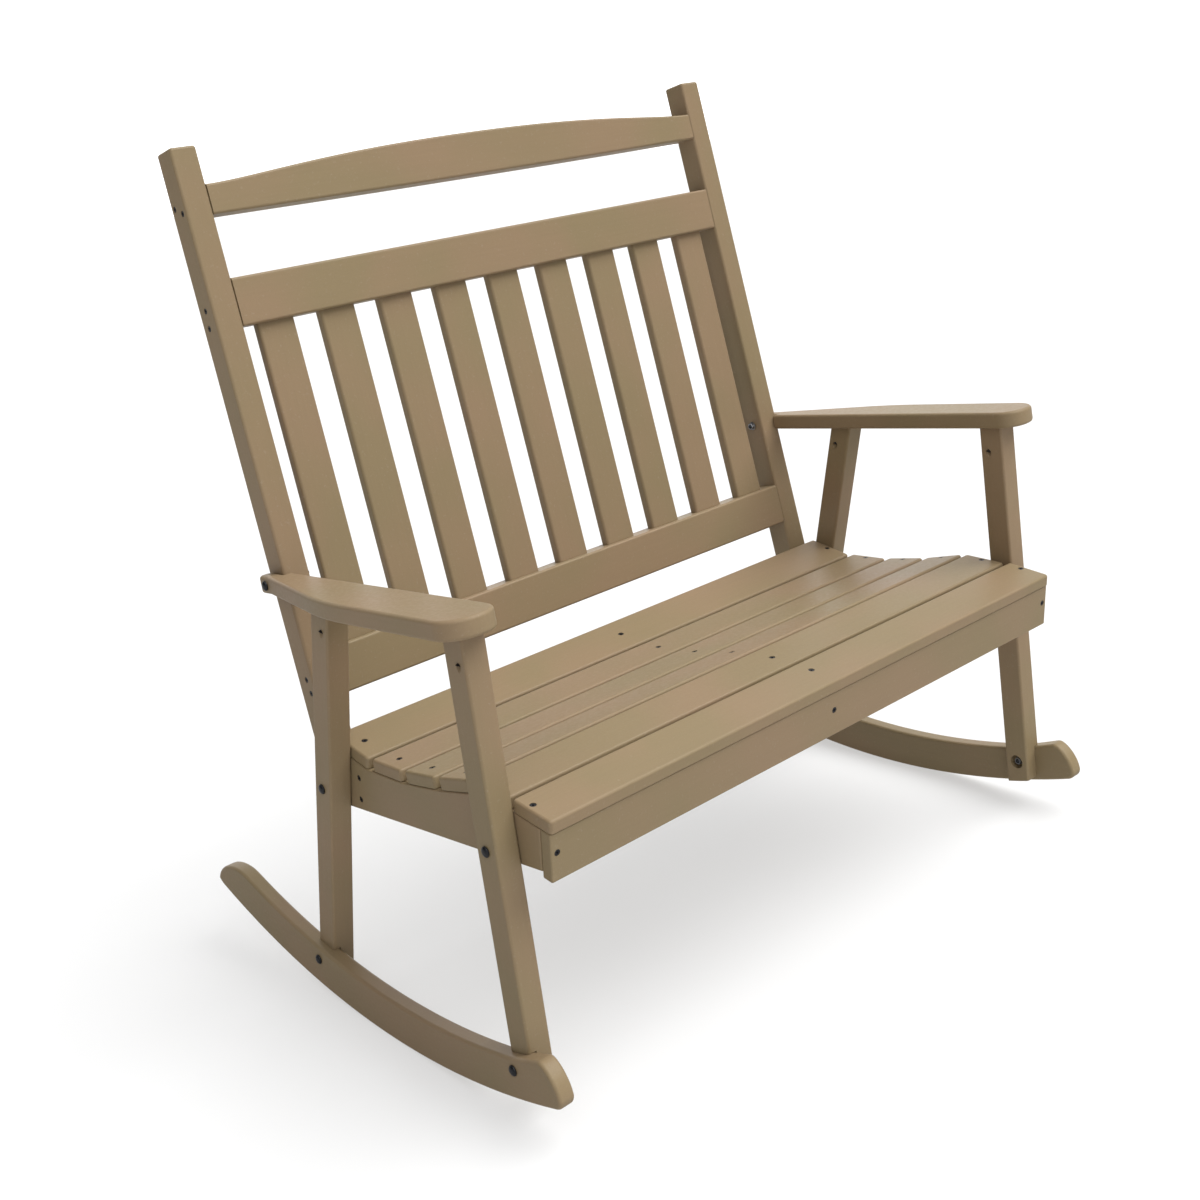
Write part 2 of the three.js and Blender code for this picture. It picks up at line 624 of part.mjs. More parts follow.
const lastUnder = slatFrame(seatSlats.at(-1)).underRear;
const plateRearTop = backFoot
  .clone()
  .addScaledVector(postUp, lastUnder.z)
  .addScaledVector(postBack, -JOINT_GAP);
const plate = sideBoard(supportOutline(plateRearTop, postUp.clone().negate()), POST_INNER, POST_OUTER, SUPPORT_EASE);
const plateCuts = seatBolts.map((at) => boltHole(at, POST_INNER, POST_OUTER));
stretcherScrews.forEach(({ point }) => plateCuts.push(screwHole(point, inward)));
plateCuts.push(screwHole(apronScrews.at(-1).point, apronBack));
placeOnBothSides("side_plate", without(plate, plateCuts), boardMaterial);

const stretcherFace = stretcherMiddle.clone().addScaledVector(apronBack, -SLAT_THICK / 2 - JOINT_GAP);
const centreRearTop = stretcherFace.clone().addScaledVector(apronDown, -STRETCHER_DEPTH / 2);
const centre = sideBoard(
  supportOutline(centreRearTop, apronDown),
  -FRAME_THICK / 2,
  FRAME_THICK / 2,
  SUPPORT_EASE,
);
place(bench, "centre_support", without(centre, [screwHole(apronScrews[1].point, apronBack)]), boardMaterial);

// Back posts

const postStart = postMiddle
  .clone()
  .addScaledVector(postUp, POST_FOOT - CUT_OVERRUN)
  .setX(POST_INNER + POST_THICK / 2);
const postBlank = drawn(
  section(POST_THICK, POST_DEPTH, EASE),
  POST_TOP - POST_FOOT + CUT_OVERRUN,
  END_EASE,
  UNIT_X,
  postBack,
  postStart,
);
const footBlock = drawn(
  section(2 * POST_THICK, 2 * POST_DEPTH, 0),
  2 * CUT_OVERRUN,
  0,
  UNIT_X,
  postBack,
  postStart.clone().addScaledVector(postUp, -CUT_OVERRUN),
);
const post = without(postBlank, [footBlock, boltHole(armBolt, POST_INNER, POST_OUTER)]);
placeOnBothSides("back_post", post, boardMaterial);

// Rails and back slats

// A point on the middle plane of the rails, at a distance across and along the posts.
function onBack(x, along) {
  return backFoot
    .clone()
    .addScaledVector(postBack, RAIL_THICK / 2)
    .addScaledVector(postUp, along)
    .setX(x);
}

const upperRailAt = POST_TOP - UPPER_RAIL_DROP;
const crestRailAt = POST_TOP - CREST_RAIL_DROP;
const slatColumns = Array.from({ length: BACK_SLATS }, (_, i) => (i - (BACK_SLATS - 1) / 2) * BACK_SLAT_PITCH);
const slatsFrom = LOWER_RAIL_AT + RAIL_DEPTH - SLOT_DEPTH;
const slatsTo = upperRailAt + SLOT_DEPTH;

// A slat of the back, or with a fit the slots that it needs.
function backSlat(x, fit) {
  const shape = section(BACK_SLAT_WIDTH + 2 * fit, SLAT_THICK + 2 * fit, BACK_SLAT_EASE + fit);
  const start = onBack(x, slatsFrom - fit);
  return drawn(shape, slatsTo - slatsFrom + 2 * fit, 0, UNIT_X, postBack, start);
}

slatColumns.forEach((x, i) => place(bench, `back_slat_${i + 1}`, backSlat(x, 0), boardMaterial));

function addRail(name, at) {
  const shape = section(RAIL_THICK, RAIL_DEPTH, EASE);
  const start = onBack(-BETWEEN_POSTS, at + RAIL_DEPTH / 2);
  const blank = drawn(shape, 2 * BETWEEN_POSTS, 0, postBack, postUp, start);
  place(bench, name, without(blank, slatColumns.map((x) => backSlat(x, SLOT_FIT))), boardMaterial);
}

addRail("lower_rail", LOWER_RAIL_AT);
addRail("upper_rail", upperRailAt);

// Depth of the crest rail at a distance from its middle.
const archHalf = BETWEEN_POSTS - CREST_LEVEL_END;

function crestDepth(x) {
  const share = Math.min(Math.abs(x) / archHalf, 1);
  return CREST_DEPTH - (CREST_DEPTH - CREST_END_DEPTH) * share ** CREST_POWER;
}

function crestOutline() {
  const end = BETWEEN_POSTS + CUT_OVERRUN;
  const arch = Array.from({ length: CREST_ARCH_STEPS + 1 }, (_, i) => {
    const x = archHalf - (2 * archHalf * i) / CREST_ARCH_STEPS;
    return [x, crestDepth(x)];
  });
  const outline = [[-end, 0], [end, 0], [end, CREST_END_DEPTH], ...arch, [-end, CREST_END_DEPTH]];
  return new THREE.Shape(outline.map((p) => new THREE.Vector2(...p)));
}

const crestRear = onBack(0, crestRailAt).addScaledVector(postBack, RAIL_THICK / 2);
const crestBlank = drawn(crestOutline(), RAIL_THICK, EASE, UNIT_X, postUp, crestRear);
const crestTrims = [-1, 1].map((side) => {
  const block = section(2 * RAIL_THICK, 4 * CREST_DEPTH, 0);
  const from = side > 0 ? BETWEEN_POSTS : -BETWEEN_POSTS - 2 * CUT_OVERRUN;
  return drawn(block, 2 * CUT_OVERRUN, 0, postBack, postUp, onBack(from, crestRailAt));
});
place(bench, "crest_rail", without(crestBlank, crestTrims), boardMaterial);

// Standing: tilted back, the rockers' lowest facets on the floor and the origin under the middle

bench.rotation.x = -rad(REST_TILT);
const standing = new THREE.Box3().setFromObject(bench, true);
bench.position.set(0, -(standing.min.y + standing.max.y) / 2, -standing.min.z);

const part = new THREE.Group();
part.add(bench);

export default part;
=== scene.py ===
"""A rocking bench for two, its boards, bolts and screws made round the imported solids.

Lengths are metres. The level frame has the arms level and its zero at the front top edge of
the seat: X along the bench, Y to the rear, Z up. At rest the bench is tilted back a little.
"""
import math

import bmesh
import bpy
from bpy.props import FloatProperty, FloatVectorProperty, PointerProperty
from bpy.types import Operator, Panel, PropertyGroup
from mathutils import Matrix, Vector
from mathutils.geometry import interpolate_bezier


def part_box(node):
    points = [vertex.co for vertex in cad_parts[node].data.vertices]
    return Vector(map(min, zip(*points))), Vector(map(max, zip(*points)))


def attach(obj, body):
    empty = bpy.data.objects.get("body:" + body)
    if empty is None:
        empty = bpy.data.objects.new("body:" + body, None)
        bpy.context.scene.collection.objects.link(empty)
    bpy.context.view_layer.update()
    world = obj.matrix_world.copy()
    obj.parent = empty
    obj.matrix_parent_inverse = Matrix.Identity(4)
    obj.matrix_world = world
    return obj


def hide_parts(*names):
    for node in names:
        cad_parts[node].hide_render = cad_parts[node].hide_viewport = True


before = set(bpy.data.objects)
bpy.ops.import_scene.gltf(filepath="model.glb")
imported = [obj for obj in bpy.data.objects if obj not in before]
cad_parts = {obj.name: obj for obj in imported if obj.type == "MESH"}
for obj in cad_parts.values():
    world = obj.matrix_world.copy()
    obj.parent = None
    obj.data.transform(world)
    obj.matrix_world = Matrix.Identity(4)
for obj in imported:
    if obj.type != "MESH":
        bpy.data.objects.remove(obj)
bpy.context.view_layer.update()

bl_info = {
    "name": "Rocking bench",
    "version": (1, 0, 0),
    "blender": (4, 5, 0),
    "location": "View3D > Sidebar > Bench",
    "description": "Makes a two-seat rocking bench of rounded plastic boards",
    "category": "Add Mesh",
}

SIDES = {"left": -1, "right": 1}
SEAT_SLOPES = (12.3, 7.2, -8.2, -4.2, 2.0, 15.6)  # degrees, up to the rear, from the front slat
BACK_SLATS = 9
RIM_STEPS = 5
CORNER_STEPS = 7
ROUND_STEPS = 48
SMOOTH_ANGLE = math.radians(32)
ROUND_PROFILE = 0.5  # a bevel's profile that is a quarter of a circle
CLOUD_SHIFT = 7.0  # how far the clouds of colour differ from board to board
FAR = 1.0  # further than any board's end

# How a board's own X, its length, Y and Z lie in the frame that it is drawn in
ALONG_Y = Matrix(((0, 0, 1, 0), (1, 0, 0, 0), (0, 1, 0, 0), (0, 0, 0, 1)))
ALONG_Z = Matrix(((0, 1, 0, 0), (0, 0, 1, 0), (1, 0, 0, 0), (0, 0, 0, 1)))
FLAT_Y = Matrix(((0, -1, 0, 0), (1, 0, 0, 0), (0, 0, 1, 0), (0, 0, 0, 1)))
UPRIGHT_X = Matrix(((1, 0, 0, 0), (0, 0, -1, 0), (0, 1, 0, 0), (0, 0, 0, 1)))


def length(name, description, default):
    return FloatProperty(
        name=name, description=description, default=default, unit="LENGTH", precision=4
    )


def angle(name, description, degrees):
    return FloatProperty(
        name=name, description=description, default=math.radians(degrees), subtype="ANGLE"
    )


def colour(name, description, default):
    return FloatVectorProperty(
        name=name, description=description, default=default, subtype="COLOR", size=3, min=0, max=1
    )


class BenchBoards(PropertyGroup):
    rest_tilt: angle("Rest tilt", "How far the bench leans back when it stands still", 3.5)
    front_leg_lean: angle("Front leg lean", "How far the front legs' tops lean to the front", 3.8)
    rear_leg_lean: angle("Rear leg lean", "How far the rear legs' tops lean to the front", 20.7)
    back_lean: angle("Back lean", "How far the back leans to the rear of upright", 5.65)
    joint_gap: length("Joint gap", "Space between boards that touch", 0.0003)
    long_rounding: length("Long edges", "Rounding of a board's long edges", 0.0038)
    lower_rounding: length("Slat undersides", "Rounding of the seat slats' lower edges", 0.0015)
    apron_rounding: length("Apron", "Rounding of the apron's long edges", 0.0024)
    butt_rounding: length("Butted ends", "Rounding of ends that meet another board", 0.0003)
    broad_rounding: length("Arms and rockers", "Rounding of the arms' and rockers' edges", 0.0048)
    plate_rounding: length("Seat supports", "Rounding of the seat supports' edges", 0.0022)
    seat_corner: length("Seat corners", "Rounding of the seat slats' corners", 0.005)
    slat_rounding: length("Back slats", "Rounding of the back slats' edges", 0.0046)
    post_rounding: length("Posts", "Rounding of the posts' long edges", 0.0042)
    post_top: length("Post tops", "Rounding of the posts' upper ends", 0.004)
    slot_fit: length("Slot fit", "Space round a back slat in its slot", 0.0003)
    foot_clear: length("Foot clearance", "From the legs' ends to the rocker's sole", 0.008)
    crest_depth: length("Crest depth", "Depth of the top rail in the middle", 0.0645)
    crest_fall: length("Crest fall", "How far the top rail's arch falls to the posts", 0.021)
    crest_bow: length("Crest bow", "How far the top rail's lower edge rises to the posts", 0.0016)
    crest_power: FloatProperty(
        name="Crest arch", description="How late the top rail falls away to its ends", default=2.25
    )
    crest_ease: FloatProperty(
        name="Crest easing",
        description="How late the arch levels out beside the posts",
        default=8.0,
    )


class BenchRockers(PropertyGroup):
    sole_y: length("Sole centre", "Centre of the sole's arc behind the seat front", 0.3368)
    sole_z: length("Sole centre height", "Centre of the sole's arc above the seat front", 0.954)
    sole_radius: length("Sole radius", "Radius of the arc that rolls on the floor", 1.3374)
    top_y: length("Top centre", "Centre of the top arc behind the seat front", 0.31)
    top_radius: length("Top radius", "Radius of the rocker's top", 1.285)
    depth: length("Depth", "From the sole's lowest point to the top arc's", 0.0601)
    front: length("Front end", "The toe behind the seat front", 0.02)
    reach: length("Length", "From toe to tail", 0.871)


class BenchArms(PropertyGroup):
    front: length("Front", "The arm's front edge behind the seat front", 0.0195)
    bend_start: length("Bend start", "Where the outer edge starts to bend in", 0.26)
    bend_radius: length("Bend radius", "Radius of the outer edge's bend", 0.5)
    bend_angle: angle("Bend angle", "How far the outer edge turns in", 13.2)
    tail_width: length("Tail width", "Width of the narrow tail beside the post", 0.0195)
    tail_ahead: length("Tail ahead", "The tail's parallel part ahead of its bolt", 0.008)
    inner_corner: length("Inner corner", "Rounding of the inner front corner", 0.031)
    outer_corner: length("Outer corner", "Rounding of the outer front corner", 0.04)
    tail_corner: length("Tail corner", "Rounding of the tail's corners", 0.007)


class BenchFasteners(PropertyGroup):
    bolt_radius: length("Bolt", "Radius of the bolts' shanks", 0.0032)
    bolt_hole: length("Bolt hole", "Radius of the bolt holes", 0.0037)
    head_radius: length("Bolt head", "Radius of the domed heads", 0.007)
    head_height: length("Bolt head height", "Height of the domed heads", 0.0042)
    thread: length("Thread", "Length of the thread on the bolts", 0.014)
    thread_pitch: length("Thread pitch", "Distance between the thread's turns", 0.00125)
    nut_across: length("Nut", "Width of the nuts across their flats", 0.01)
    nut_height: length("Nut height", "Height of the nuts with their flanges", 0.0065)
    flange_radius: length("Flange", "Radius of the nuts' flanges", 0.007)
    recess_radius: length("Nut recess", "Radius of the recess in each leg's foot", 0.011)
    recess_depth: length("Recess depth", "Depth of the recess in each leg's foot", 0.01)
    screw_radius: length("Screw", "Radius of the screws' shanks", 0.0022)
    screw_head: length("Screw head", "Radius of the screws' heads", 0.0042)
    screw_cone: length("Screw cone", "Height of the countersunk head", 0.0026)
    screw_sink: length("Screw sink", "How far the heads lie below the face", 0.0005)
    screw_length: length("Screw length", "Length of the screws in seat and back", 0.048)
    drive_width: length("Drive", "Width of the square socket in the heads", 0.0028)
    drive_depth: length("Drive depth", "Depth of the square socket", 0.0016)


class BenchColours(PropertyGroup):
    board: colour("Board", "Tan of the plastic boards", (0.222, 0.168, 0.0935))
    board_warm: colour("Warm board", "Warmer clouds in the boards' tan", (0.242, 0.17, 0.101))
    fleck: colour("Fleck", "Pale flecks in the boards", (0.335, 0.29, 0.225))
    bolt: colour("Bolt", "Black finish of the bolts", (0.012, 0.013, 0.016))
    nut: colour("Nut", "Zinc of the nuts", (0.30, 0.31, 0.33))
    screw: colour("Screw", "Dark finish of the screws", (0.02, 0.02, 0.023))
    floor: colour("Floor", "Pale studio floor", (0.37, 0.37, 0.37))


# Directions and places


def boards():
    return bpy.context.scene.bench_boards


def fasteners():
    return bpy.context.scene.bench_fasteners


def seat_slopes():
    return [math.radians(slope) for slope in SEAT_SLOPES]


def legs():
    return (("front", boards().front_leg_lean), ("rear", boards().rear_leg_lean))


def box_in(place, node):
    """A node's lowest and highest corners in another frame."""
    back = place.inverted()
    corners = [back @ v.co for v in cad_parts[node].data.vertices]
    return [Vector([pick(c[i] for c in corners) for i in range(3)]) for pick in (min, max)]


def fitted(node, slope):
    """A board's frame at rest, and its lowest and highest corners in that frame.

    The slope is how far the board rises to the rear, or leans to the front, with level arms.
    """
    turn = Matrix.Rotation(slope - boards().rest_tilt, 4, "X")
    return turn, *box_in(turn, node)


def fitted_slats():
    """The same for the seat slats, from the front."""
    return [fitted(f"seat_slat_{i + 1}", slope) for i, slope in enumerate(seat_slopes())]


def level_frame():
    """The level frame, as it stands at rest: its zero is the seat's front top edge."""
    turn, low, high = fitted_slats()[0]
    edge = turn @ Vector((0, low.y, high.z))
    return Matrix.Translation(edge) @ Matrix.Rotation(-boards().rest_tilt, 4, "X")


def level_box(node):
    return box_in(level_frame(), node)


def middle_of(node):
    """Middle of a bolt or nut in the level frame."""
    low, high = level_box(node)
    return (low + high) / 2


# Outlines


def rounded(corners):
    """An outline whose corners are rounded: each entry is a point, or a point and a radius."""
    places = [Vector(c[0]) if isinstance(c[0], (tuple, Vector)) else Vector(c) for c in corners]
    radii = [c[1] if isinstance(c[0], (tuple, Vector)) else 0 for c in corners]
    outline = []
    for i, (here, radius) in enumerate(zip(places, radii)):
        if not radius:
            outline.append(here)
            continue
        back = (places[i - 1] - here).normalized()
        ahead = (places[(i + 1) % len(places)] - here).normalized()
        half = back.angle(ahead) / 2
        centre = here + (back + ahead).normalized() * radius / math.sin(half)
        start = here + back * radius / math.tan(half) - centre
        end = here + ahead * radius / math.tan(half) - centre
        turn = -start.angle_signed(end)
        for k in range(CORNER_STEPS + 1):
            outline.append(centre + Matrix.Rotation(turn * k / CORNER_STEPS, 2) @ start)
    return outline


def section(width, depth, radius):
    w, d = width / 2, depth / 2
    return rounded([(corner, radius) for corner in ((-w, -d), (w, -d), (w, d), (-w, d))])


# Meshes


def prism(outline, start, end, rim, plane="XY"):
    """A board drawn out from an outline, in the mesh's own X, Y and Z.

    The rim is how far both ends' edges are rounded, or a pair for the first and the last end.
    """
    bm = bmesh.new()
    lay = {"XY": lambda p, d: (p[0], p[1], d), "YZ": lambda p, d: (d, p[0], p[1])}[plane]
    caps = [[bm.verts.new(lay(p, d)) for p in outline] for d in (start, end)]
    ends = [bm.faces.new(cap) for cap in caps]
    for i in range(len(outline)):
        j = (i + 1) % len(outline)
        bm.faces.new((caps[0][i], caps[0][j], caps[1][j], caps[1][i]))
    bmesh.ops.recalc_face_normals(bm, faces=bm.faces)
    rims = rim if isinstance(rim, tuple) else (rim, rim)
    for radius, edges in [(r, list(face.edges)) for r, face in zip(rims, ends) if r]:
        bmesh.ops.bevel(
            bm, geom=edges, offset=radius, segments=RIM_STEPS, profile=ROUND_PROFILE,
            affect="EDGES", clamp_overlap=False,
        )
    return bm


def rings(loops):
    """A closed body through a stack of rings: each is a list of points, or one point at a pole."""
    bm = bmesh.new()
    made = [[bm.verts.new(p) for p in loop] for loop in loops]
    for low, high in zip(made, made[1:]):
        n = max(len(low), len(high))
        for i in range(n):
            j = (i + 1) % n
            places = ((low, i), (low, j), (high, j), (high, i))
            corners = [loop[k % len(loop)] for loop, k in places]
            bm.faces.new(list(dict.fromkeys(corners)))
    bmesh.ops.recalc_face_normals(bm, faces=bm.faces)
    return bm


def round_ring(radius, height, sides=ROUND_STEPS):
    if radius == 0:
        return [Vector((0, 0, height))]
    return [
        Vector((radius * math.cos(a), radius * math.sin(a), height))
        for a in (2 * math.pi * i / sides for i in range(sides))
    ]


def flat_sided_ring(across, height, flats, most=math.inf):
    """A ring with flat sides, cut off where it would pass a circle."""
    loop = []
    for i in range(ROUND_STEPS):
        a = 2 * math.pi * i / ROUND_STEPS
        off = (a % (2 * math.pi / flats)) - math.pi / flats
        r = min(across / 2 / math.cos(off), most)
        loop.append(Vector((r * math.cos(a), r * math.sin(a), height)))
    return loop


def turned(profile, sides=ROUND_STEPS):
    return rings([round_ring(r, h, sides) for r, h in profile])


def drum(radius, bottom, top, sides=ROUND_STEPS):
    return turned([(0, bottom), (radius, bottom), (radius, top), (0, top)], sides)


def placed(name, bm, matrix):
    mesh = bpy.data.meshes.new(name)
    bm.to_mesh(mesh)
    bm.free()
    piece = bpy.data.objects.new(name, mesh)
    bpy.context.scene.collection.objects.link(piece)
    piece.matrix_world = matrix
    return piece


def joined(parts):
    """One bmesh of several separate bodies, each with its place."""
    whole = bmesh.new()
    for bm, matrix in parts:
        bm.transform(matrix)
        mesh = bpy.data.meshes.new("part")
        bm.to_mesh(mesh)
        bm.free()
        whole.from_mesh(mesh)
        bpy.data.meshes.remove(mesh)
    return whole


def cut(piece, cutters):
    """Takes cutters away from a piece: each is a list of separate bodies with their places."""
    tools = [placed("cutter", joined(bodies), Matrix.Identity(4)) for bodies in cutters if bodies]
    for tool in tools:
        step = piece.modifiers.new("cut", "BOOLEAN")
        step.operation, step.solver, step.object = "DIFFERENCE", "MANIFOLD", tool
    bpy.context.view_layer.update()
    shown = piece.evaluated_get(bpy.context.evaluated_depsgraph_get())
    mesh = bpy.data.meshes.new_from_object(shown)
    if not mesh.polygons:
        raise RuntimeError(f"{piece.name}: nothing is left after its cuts")
    piece.modifiers.clear()
    piece.data = mesh
    for tool in tools:
        bpy.data.objects.remove(tool)


def towards(point, direction):
    """A frame at a point whose Z runs along a direction."""
    turn = Vector(direction).to_track_quat("Z", "Y").to_matrix().to_4x4()
    return Matrix.Translation(point) @ turn


def settle(piece, slot, node=None):
    """Shades a piece, gives it its finish and lets it ride on the bench.

    Its mesh goes to its place at rest. Where its points lay on the board itself stays with
    them, because the finish runs along the board.
    """
    own = [v.co + CLOUD_SHIFT * piece.matrix_world.translation for v in piece.data.vertices]
    place = piece.data.attributes.new("board_place", "FLOAT_VECTOR", "POINT")
    place.data.foreach_set("vector", [value for point in own for value in point])
    piece.data.transform(piece.matrix_world)
    piece.matrix_world = Matrix.Identity(4)
    piece.data.materials.clear()
    piece.data.materials.append(board_finish() if slot == "board" else metal_finish(slot))
    for face in piece.data.polygons:
        face.use_smooth = True
    piece.data.set_sharp_from_angle(angle=SMOOTH_ANGLE)
    even = piece.modifiers.new("even shading", "WEIGHTED_NORMAL")
    even.keep_sharp = True
    if node:
        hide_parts(node)
    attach(piece, "root")


def make_board(node, bm, place, cuts=()):
    """Makes the board that stands for a node, less its cuts."""
    piece = placed(f"{node}_board", bm, place)
    if cuts:
        cut(piece, cuts)
    settle(piece, "board", node)


# Finishes

MOST_NOISE = (0.3, 0.7)  # the range that most of a noise's values lie in

# Marks in the boards: their turns in a metre, detail and roughness
CLOUDS = (5.5, 1.5, 0.5)
DRAWN_LINES = (260.0, 3.0, 0.6)
GRAIN = (1100.0, 2.0, 0.6)
MOTTLE = (190.0, 3.0, 0.65)

DRAWN_OUT = (0.035, 1.0, 1.0)  # the lines run along the board
CLOUD_TINT = (0.38, 0.62, 0.0, 1.0)  # from the clouds' noise to their warm tint
FLECK_TINT = (0.60, 0.74, 0.0, 0.22)  # from the mottle's noise to pale flecks
LINE_SHADE = (0.985, 1.015)
GRAIN_SHADE = (0.97, 1.03)
BOARD_ROUGHNESS = (0.37, 0.5)

# Metals by slot: the material's name, how metallic and how rough it is, and its unevenness
METALS = {
    "bolt": ("black_bolt", 0.35, 0.3, 0.25),
    "nut": ("zinc_nut", 0.9, 0.34, 0.12),
    "screw": ("dark_screw", 0.55, 0.36, 0.2),
}
METAL_CLOUDS = (420.0, 3.0)
METAL_PITS = 2600.0
METAL_SHEEN = (-0.06, 0.08)  # how far the roughness strays to both sides


def feed(tree, node, **inputs):
    """Gives inputs, by name or as i0, i1 and on by number, values or other nodes' outputs."""
    for name, value in inputs.items():
        at = int(name[1:]) if name[0] == "i" and name[1:].isdigit() else name.replace("_", " ")
        socket = node.inputs[at]
        if isinstance(value, bpy.types.NodeSocket):
            tree.links.new(value, socket)
        else:
            socket.default_value = value


def add(tree, kind, settings=None, **inputs):
    """A shader node with its settings and its inputs."""
    node = tree.nodes.new(f"ShaderNode{kind}")
    for name, value in (settings or {}).items():
        setattr(node, name, value)
    feed(tree, node, **inputs)
    return node


def finish(name):
    """A new material with its shader node, or none if it is there already."""
    found = bpy.data.materials.get(name)
    if found:
        return found, None, None
    material = bpy.data.materials.new(name)
    material.use_nodes = True
    tree = material.node_tree
    tree.nodes.clear()
    shader = add(tree, "BsdfPrincipled")
    add(tree, "OutputMaterial", Surface=shader.outputs["BSDF"])
    return material, tree, shader


def mixed(tree, factor, a, b, blend="MIX"):
    settings = {"data_type": "RGBA", "blend_type": blend}
    return add(tree, "Mix", settings, i0=factor, i6=a, i7=b).outputs[2]


def computed(tree, operation, **inputs):
    return add(tree, "Math", {"operation": operation}, **inputs).outputs[0]


def between(tree, value, low, high, to_low, to_high):
    ends = {"From_Min": low, "From_Max": high, "To_Min": to_low, "To_Max": to_high}
    return add(tree, "MapRange", Value=value, **ends).outputs[0]


def noise(tree, vector, scale, detail=2.0, roughness=0.5):
    look = {"Scale": scale, "Detail": detail, "Roughness": roughness}
    return add(tree, "TexNoise", Vector=vector, **look).outputs[0]


def board_finish():
    """Dyed-through plastic: slow clouds of colour, faint lines along the board, fine pitting."""
    material, tree, shader = finish("tan_plastic_board")
    if not tree:
        return material
    tints = bpy.context.scene.bench_colours
    place = add(tree, "Attribute", {"attribute_name": "board_place"}).outputs["Vector"]
    drawn = add(tree, "Mapping", Vector=place, Scale=DRAWN_OUT).outputs[0]

    clouds = between(tree, noise(tree, place, *CLOUDS), *CLOUD_TINT)
    lines = noise(tree, drawn, *DRAWN_LINES)
    grain = noise(tree, place, *GRAIN)
    mottle = noise(tree, place, *MOTTLE)

    tan = mixed(tree, clouds, (*tints.board, 1), (*tints.board_warm, 1))
    tan = mixed(tree, between(tree, mottle, *FLECK_TINT), tan, (*tints.fleck, 1))
    line_shade = between(tree, lines, *MOST_NOISE, *LINE_SHADE)
    grain_shade = between(tree, grain, *MOST_NOISE, *GRAIN_SHADE)
    shade = computed(tree, "MULTIPLY", i0=line_shade, i1=grain_shade)
    height = computed(tree, "MULTIPLY_ADD", i0=grain, i1=0.5, i2=lines)
    bump = add(tree, "Bump", Strength=0.18, Distance=0.0004, Height=height)
    feed(tree, shader, Base_Color=mixed(tree, 1.0, tan, shade, "MULTIPLY"),
         Roughness=between(tree, mottle, *MOST_NOISE, *BOARD_ROUGHNESS),
         Specular_IOR_Level=0.2, Normal=bump.outputs[0])
    return material


def metal_finish(slot):
    """Plated or blackened steel with a little uneven sheen."""
    name, metallic, roughness, wear = METALS[slot]
    material, tree, shader = finish(name)
    if not tree:
        return material
    tint = (*getattr(bpy.context.scene.bench_colours, slot), 1)
    own = add(tree, "TexCoord").outputs["Object"]
    cloud = noise(tree, own, *METAL_CLOUDS)
    tone = between(tree, cloud, *MOST_NOISE, 1 - wear, 1 + wear)
    sheen = between(tree, cloud, *MOST_NOISE, *(roughness + stray for stray in METAL_SHEEN))
    pits = noise(tree, own, METAL_PITS)
    bump = add(tree, "Bump", Strength=0.1, Distance=0.0001, Height=pits)
    feed(tree, shader, Base_Color=mixed(tree, 1.0, tint, tone, "MULTIPLY"), Roughness=sheen,
         Metallic=metallic, Normal=bump.outputs[0])
    return material


# Screws and their holes

SOCKET_FLOOR = 0.9  # width of the socket's floor, in its widths at the face
HEAD_FACE = 0.97  # radius of the head's flat face, in radii of the head
HEAD_RIM = 0.12  # height of the head's rim, in heights of the cone
TIP_LENGTH = 3  # in radii of the shank
TIP_END = 0.6  # radius near the point, in radii of the shank
SCREW_FIT = 0.00015  # space round a screw in its hole


def screw_body(length):
    """A countersunk screw along Z, its head's top at zero, with a square socket."""
    f = fasteners()
    shank = f.screw_radius
    return rings([
        round_ring(0, f.drive_depth),
        flat_sided_ring(f.drive_width * SOCKET_FLOOR, f.drive_depth, 4),
        flat_sided_ring(f.drive_width, 0, 4),
        round_ring(f.screw_head * HEAD_FACE, 0),
        round_ring(f.screw_head, f.screw_cone * HEAD_RIM),
        round_ring(shank, f.screw_cone),
        round_ring(shank, length - TIP_LENGTH * shank),
        round_ring(shank * TIP_END, length - shank),
        round_ring(0, length),
    ])


def screw_hole(matrix, through):
    """What a screw needs: a countersink open to the face and a hole through the board."""
    f = fasteners()
    head, shank = f.screw_head + SCREW_FIT, f.screw_radius + SCREW_FIT
    outside = -4 * f.screw_head  # well clear of the face
    return turned([
        (0, outside),
        (head, outside),
        (head, f.screw_cone * HEAD_RIM),
        (shank, f.screw_cone + SCREW_FIT),
        (shank, through),
        (0, through),
    ]), matrix


def sunk(matrix):
    return matrix @ Matrix.Translation((0, 0, fasteners().screw_sink))


def screw_holes(places, through):
    return [screw_hole(sunk(place), through) for place in places.values()]


def add_screws(places, length):
    for name, place in places.items():
        settle(placed(name, screw_body(length), sunk(place)), "screw")


PLATE_SCREW_INSET = 0.0105  # screws into the side plates, from the plates' outer faces
REAR_SCREWS_IN = 0.0125  # the left screws of the rear slats lie this much further in
FIRST_SCREWS_BACK = 0.008  # the front slat's screws lie this far behind its middle


def seat_screws():
    """Frames of the seat slats' screws, pointing down into the supports, by slat."""
    outer = level_box("left_side_plate")[0].x + PLATE_SCREW_INSET
    found = []
    for i, (turn, low, high) in enumerate(fitted_slats()):
        rows = {"left": outer + (REAR_SCREWS_IN if i > 1 else 0), "centre": 0, "right": -outer}
        middle = (low.y + high.y) / 2 + (0 if i else FIRST_SCREWS_BACK)
        found.append({
            name: turn @ Matrix.Translation((x, middle, high.z)) @ Matrix.Rotation(math.pi, 4, "X")
            for name, x in rows.items()
        })
    return found


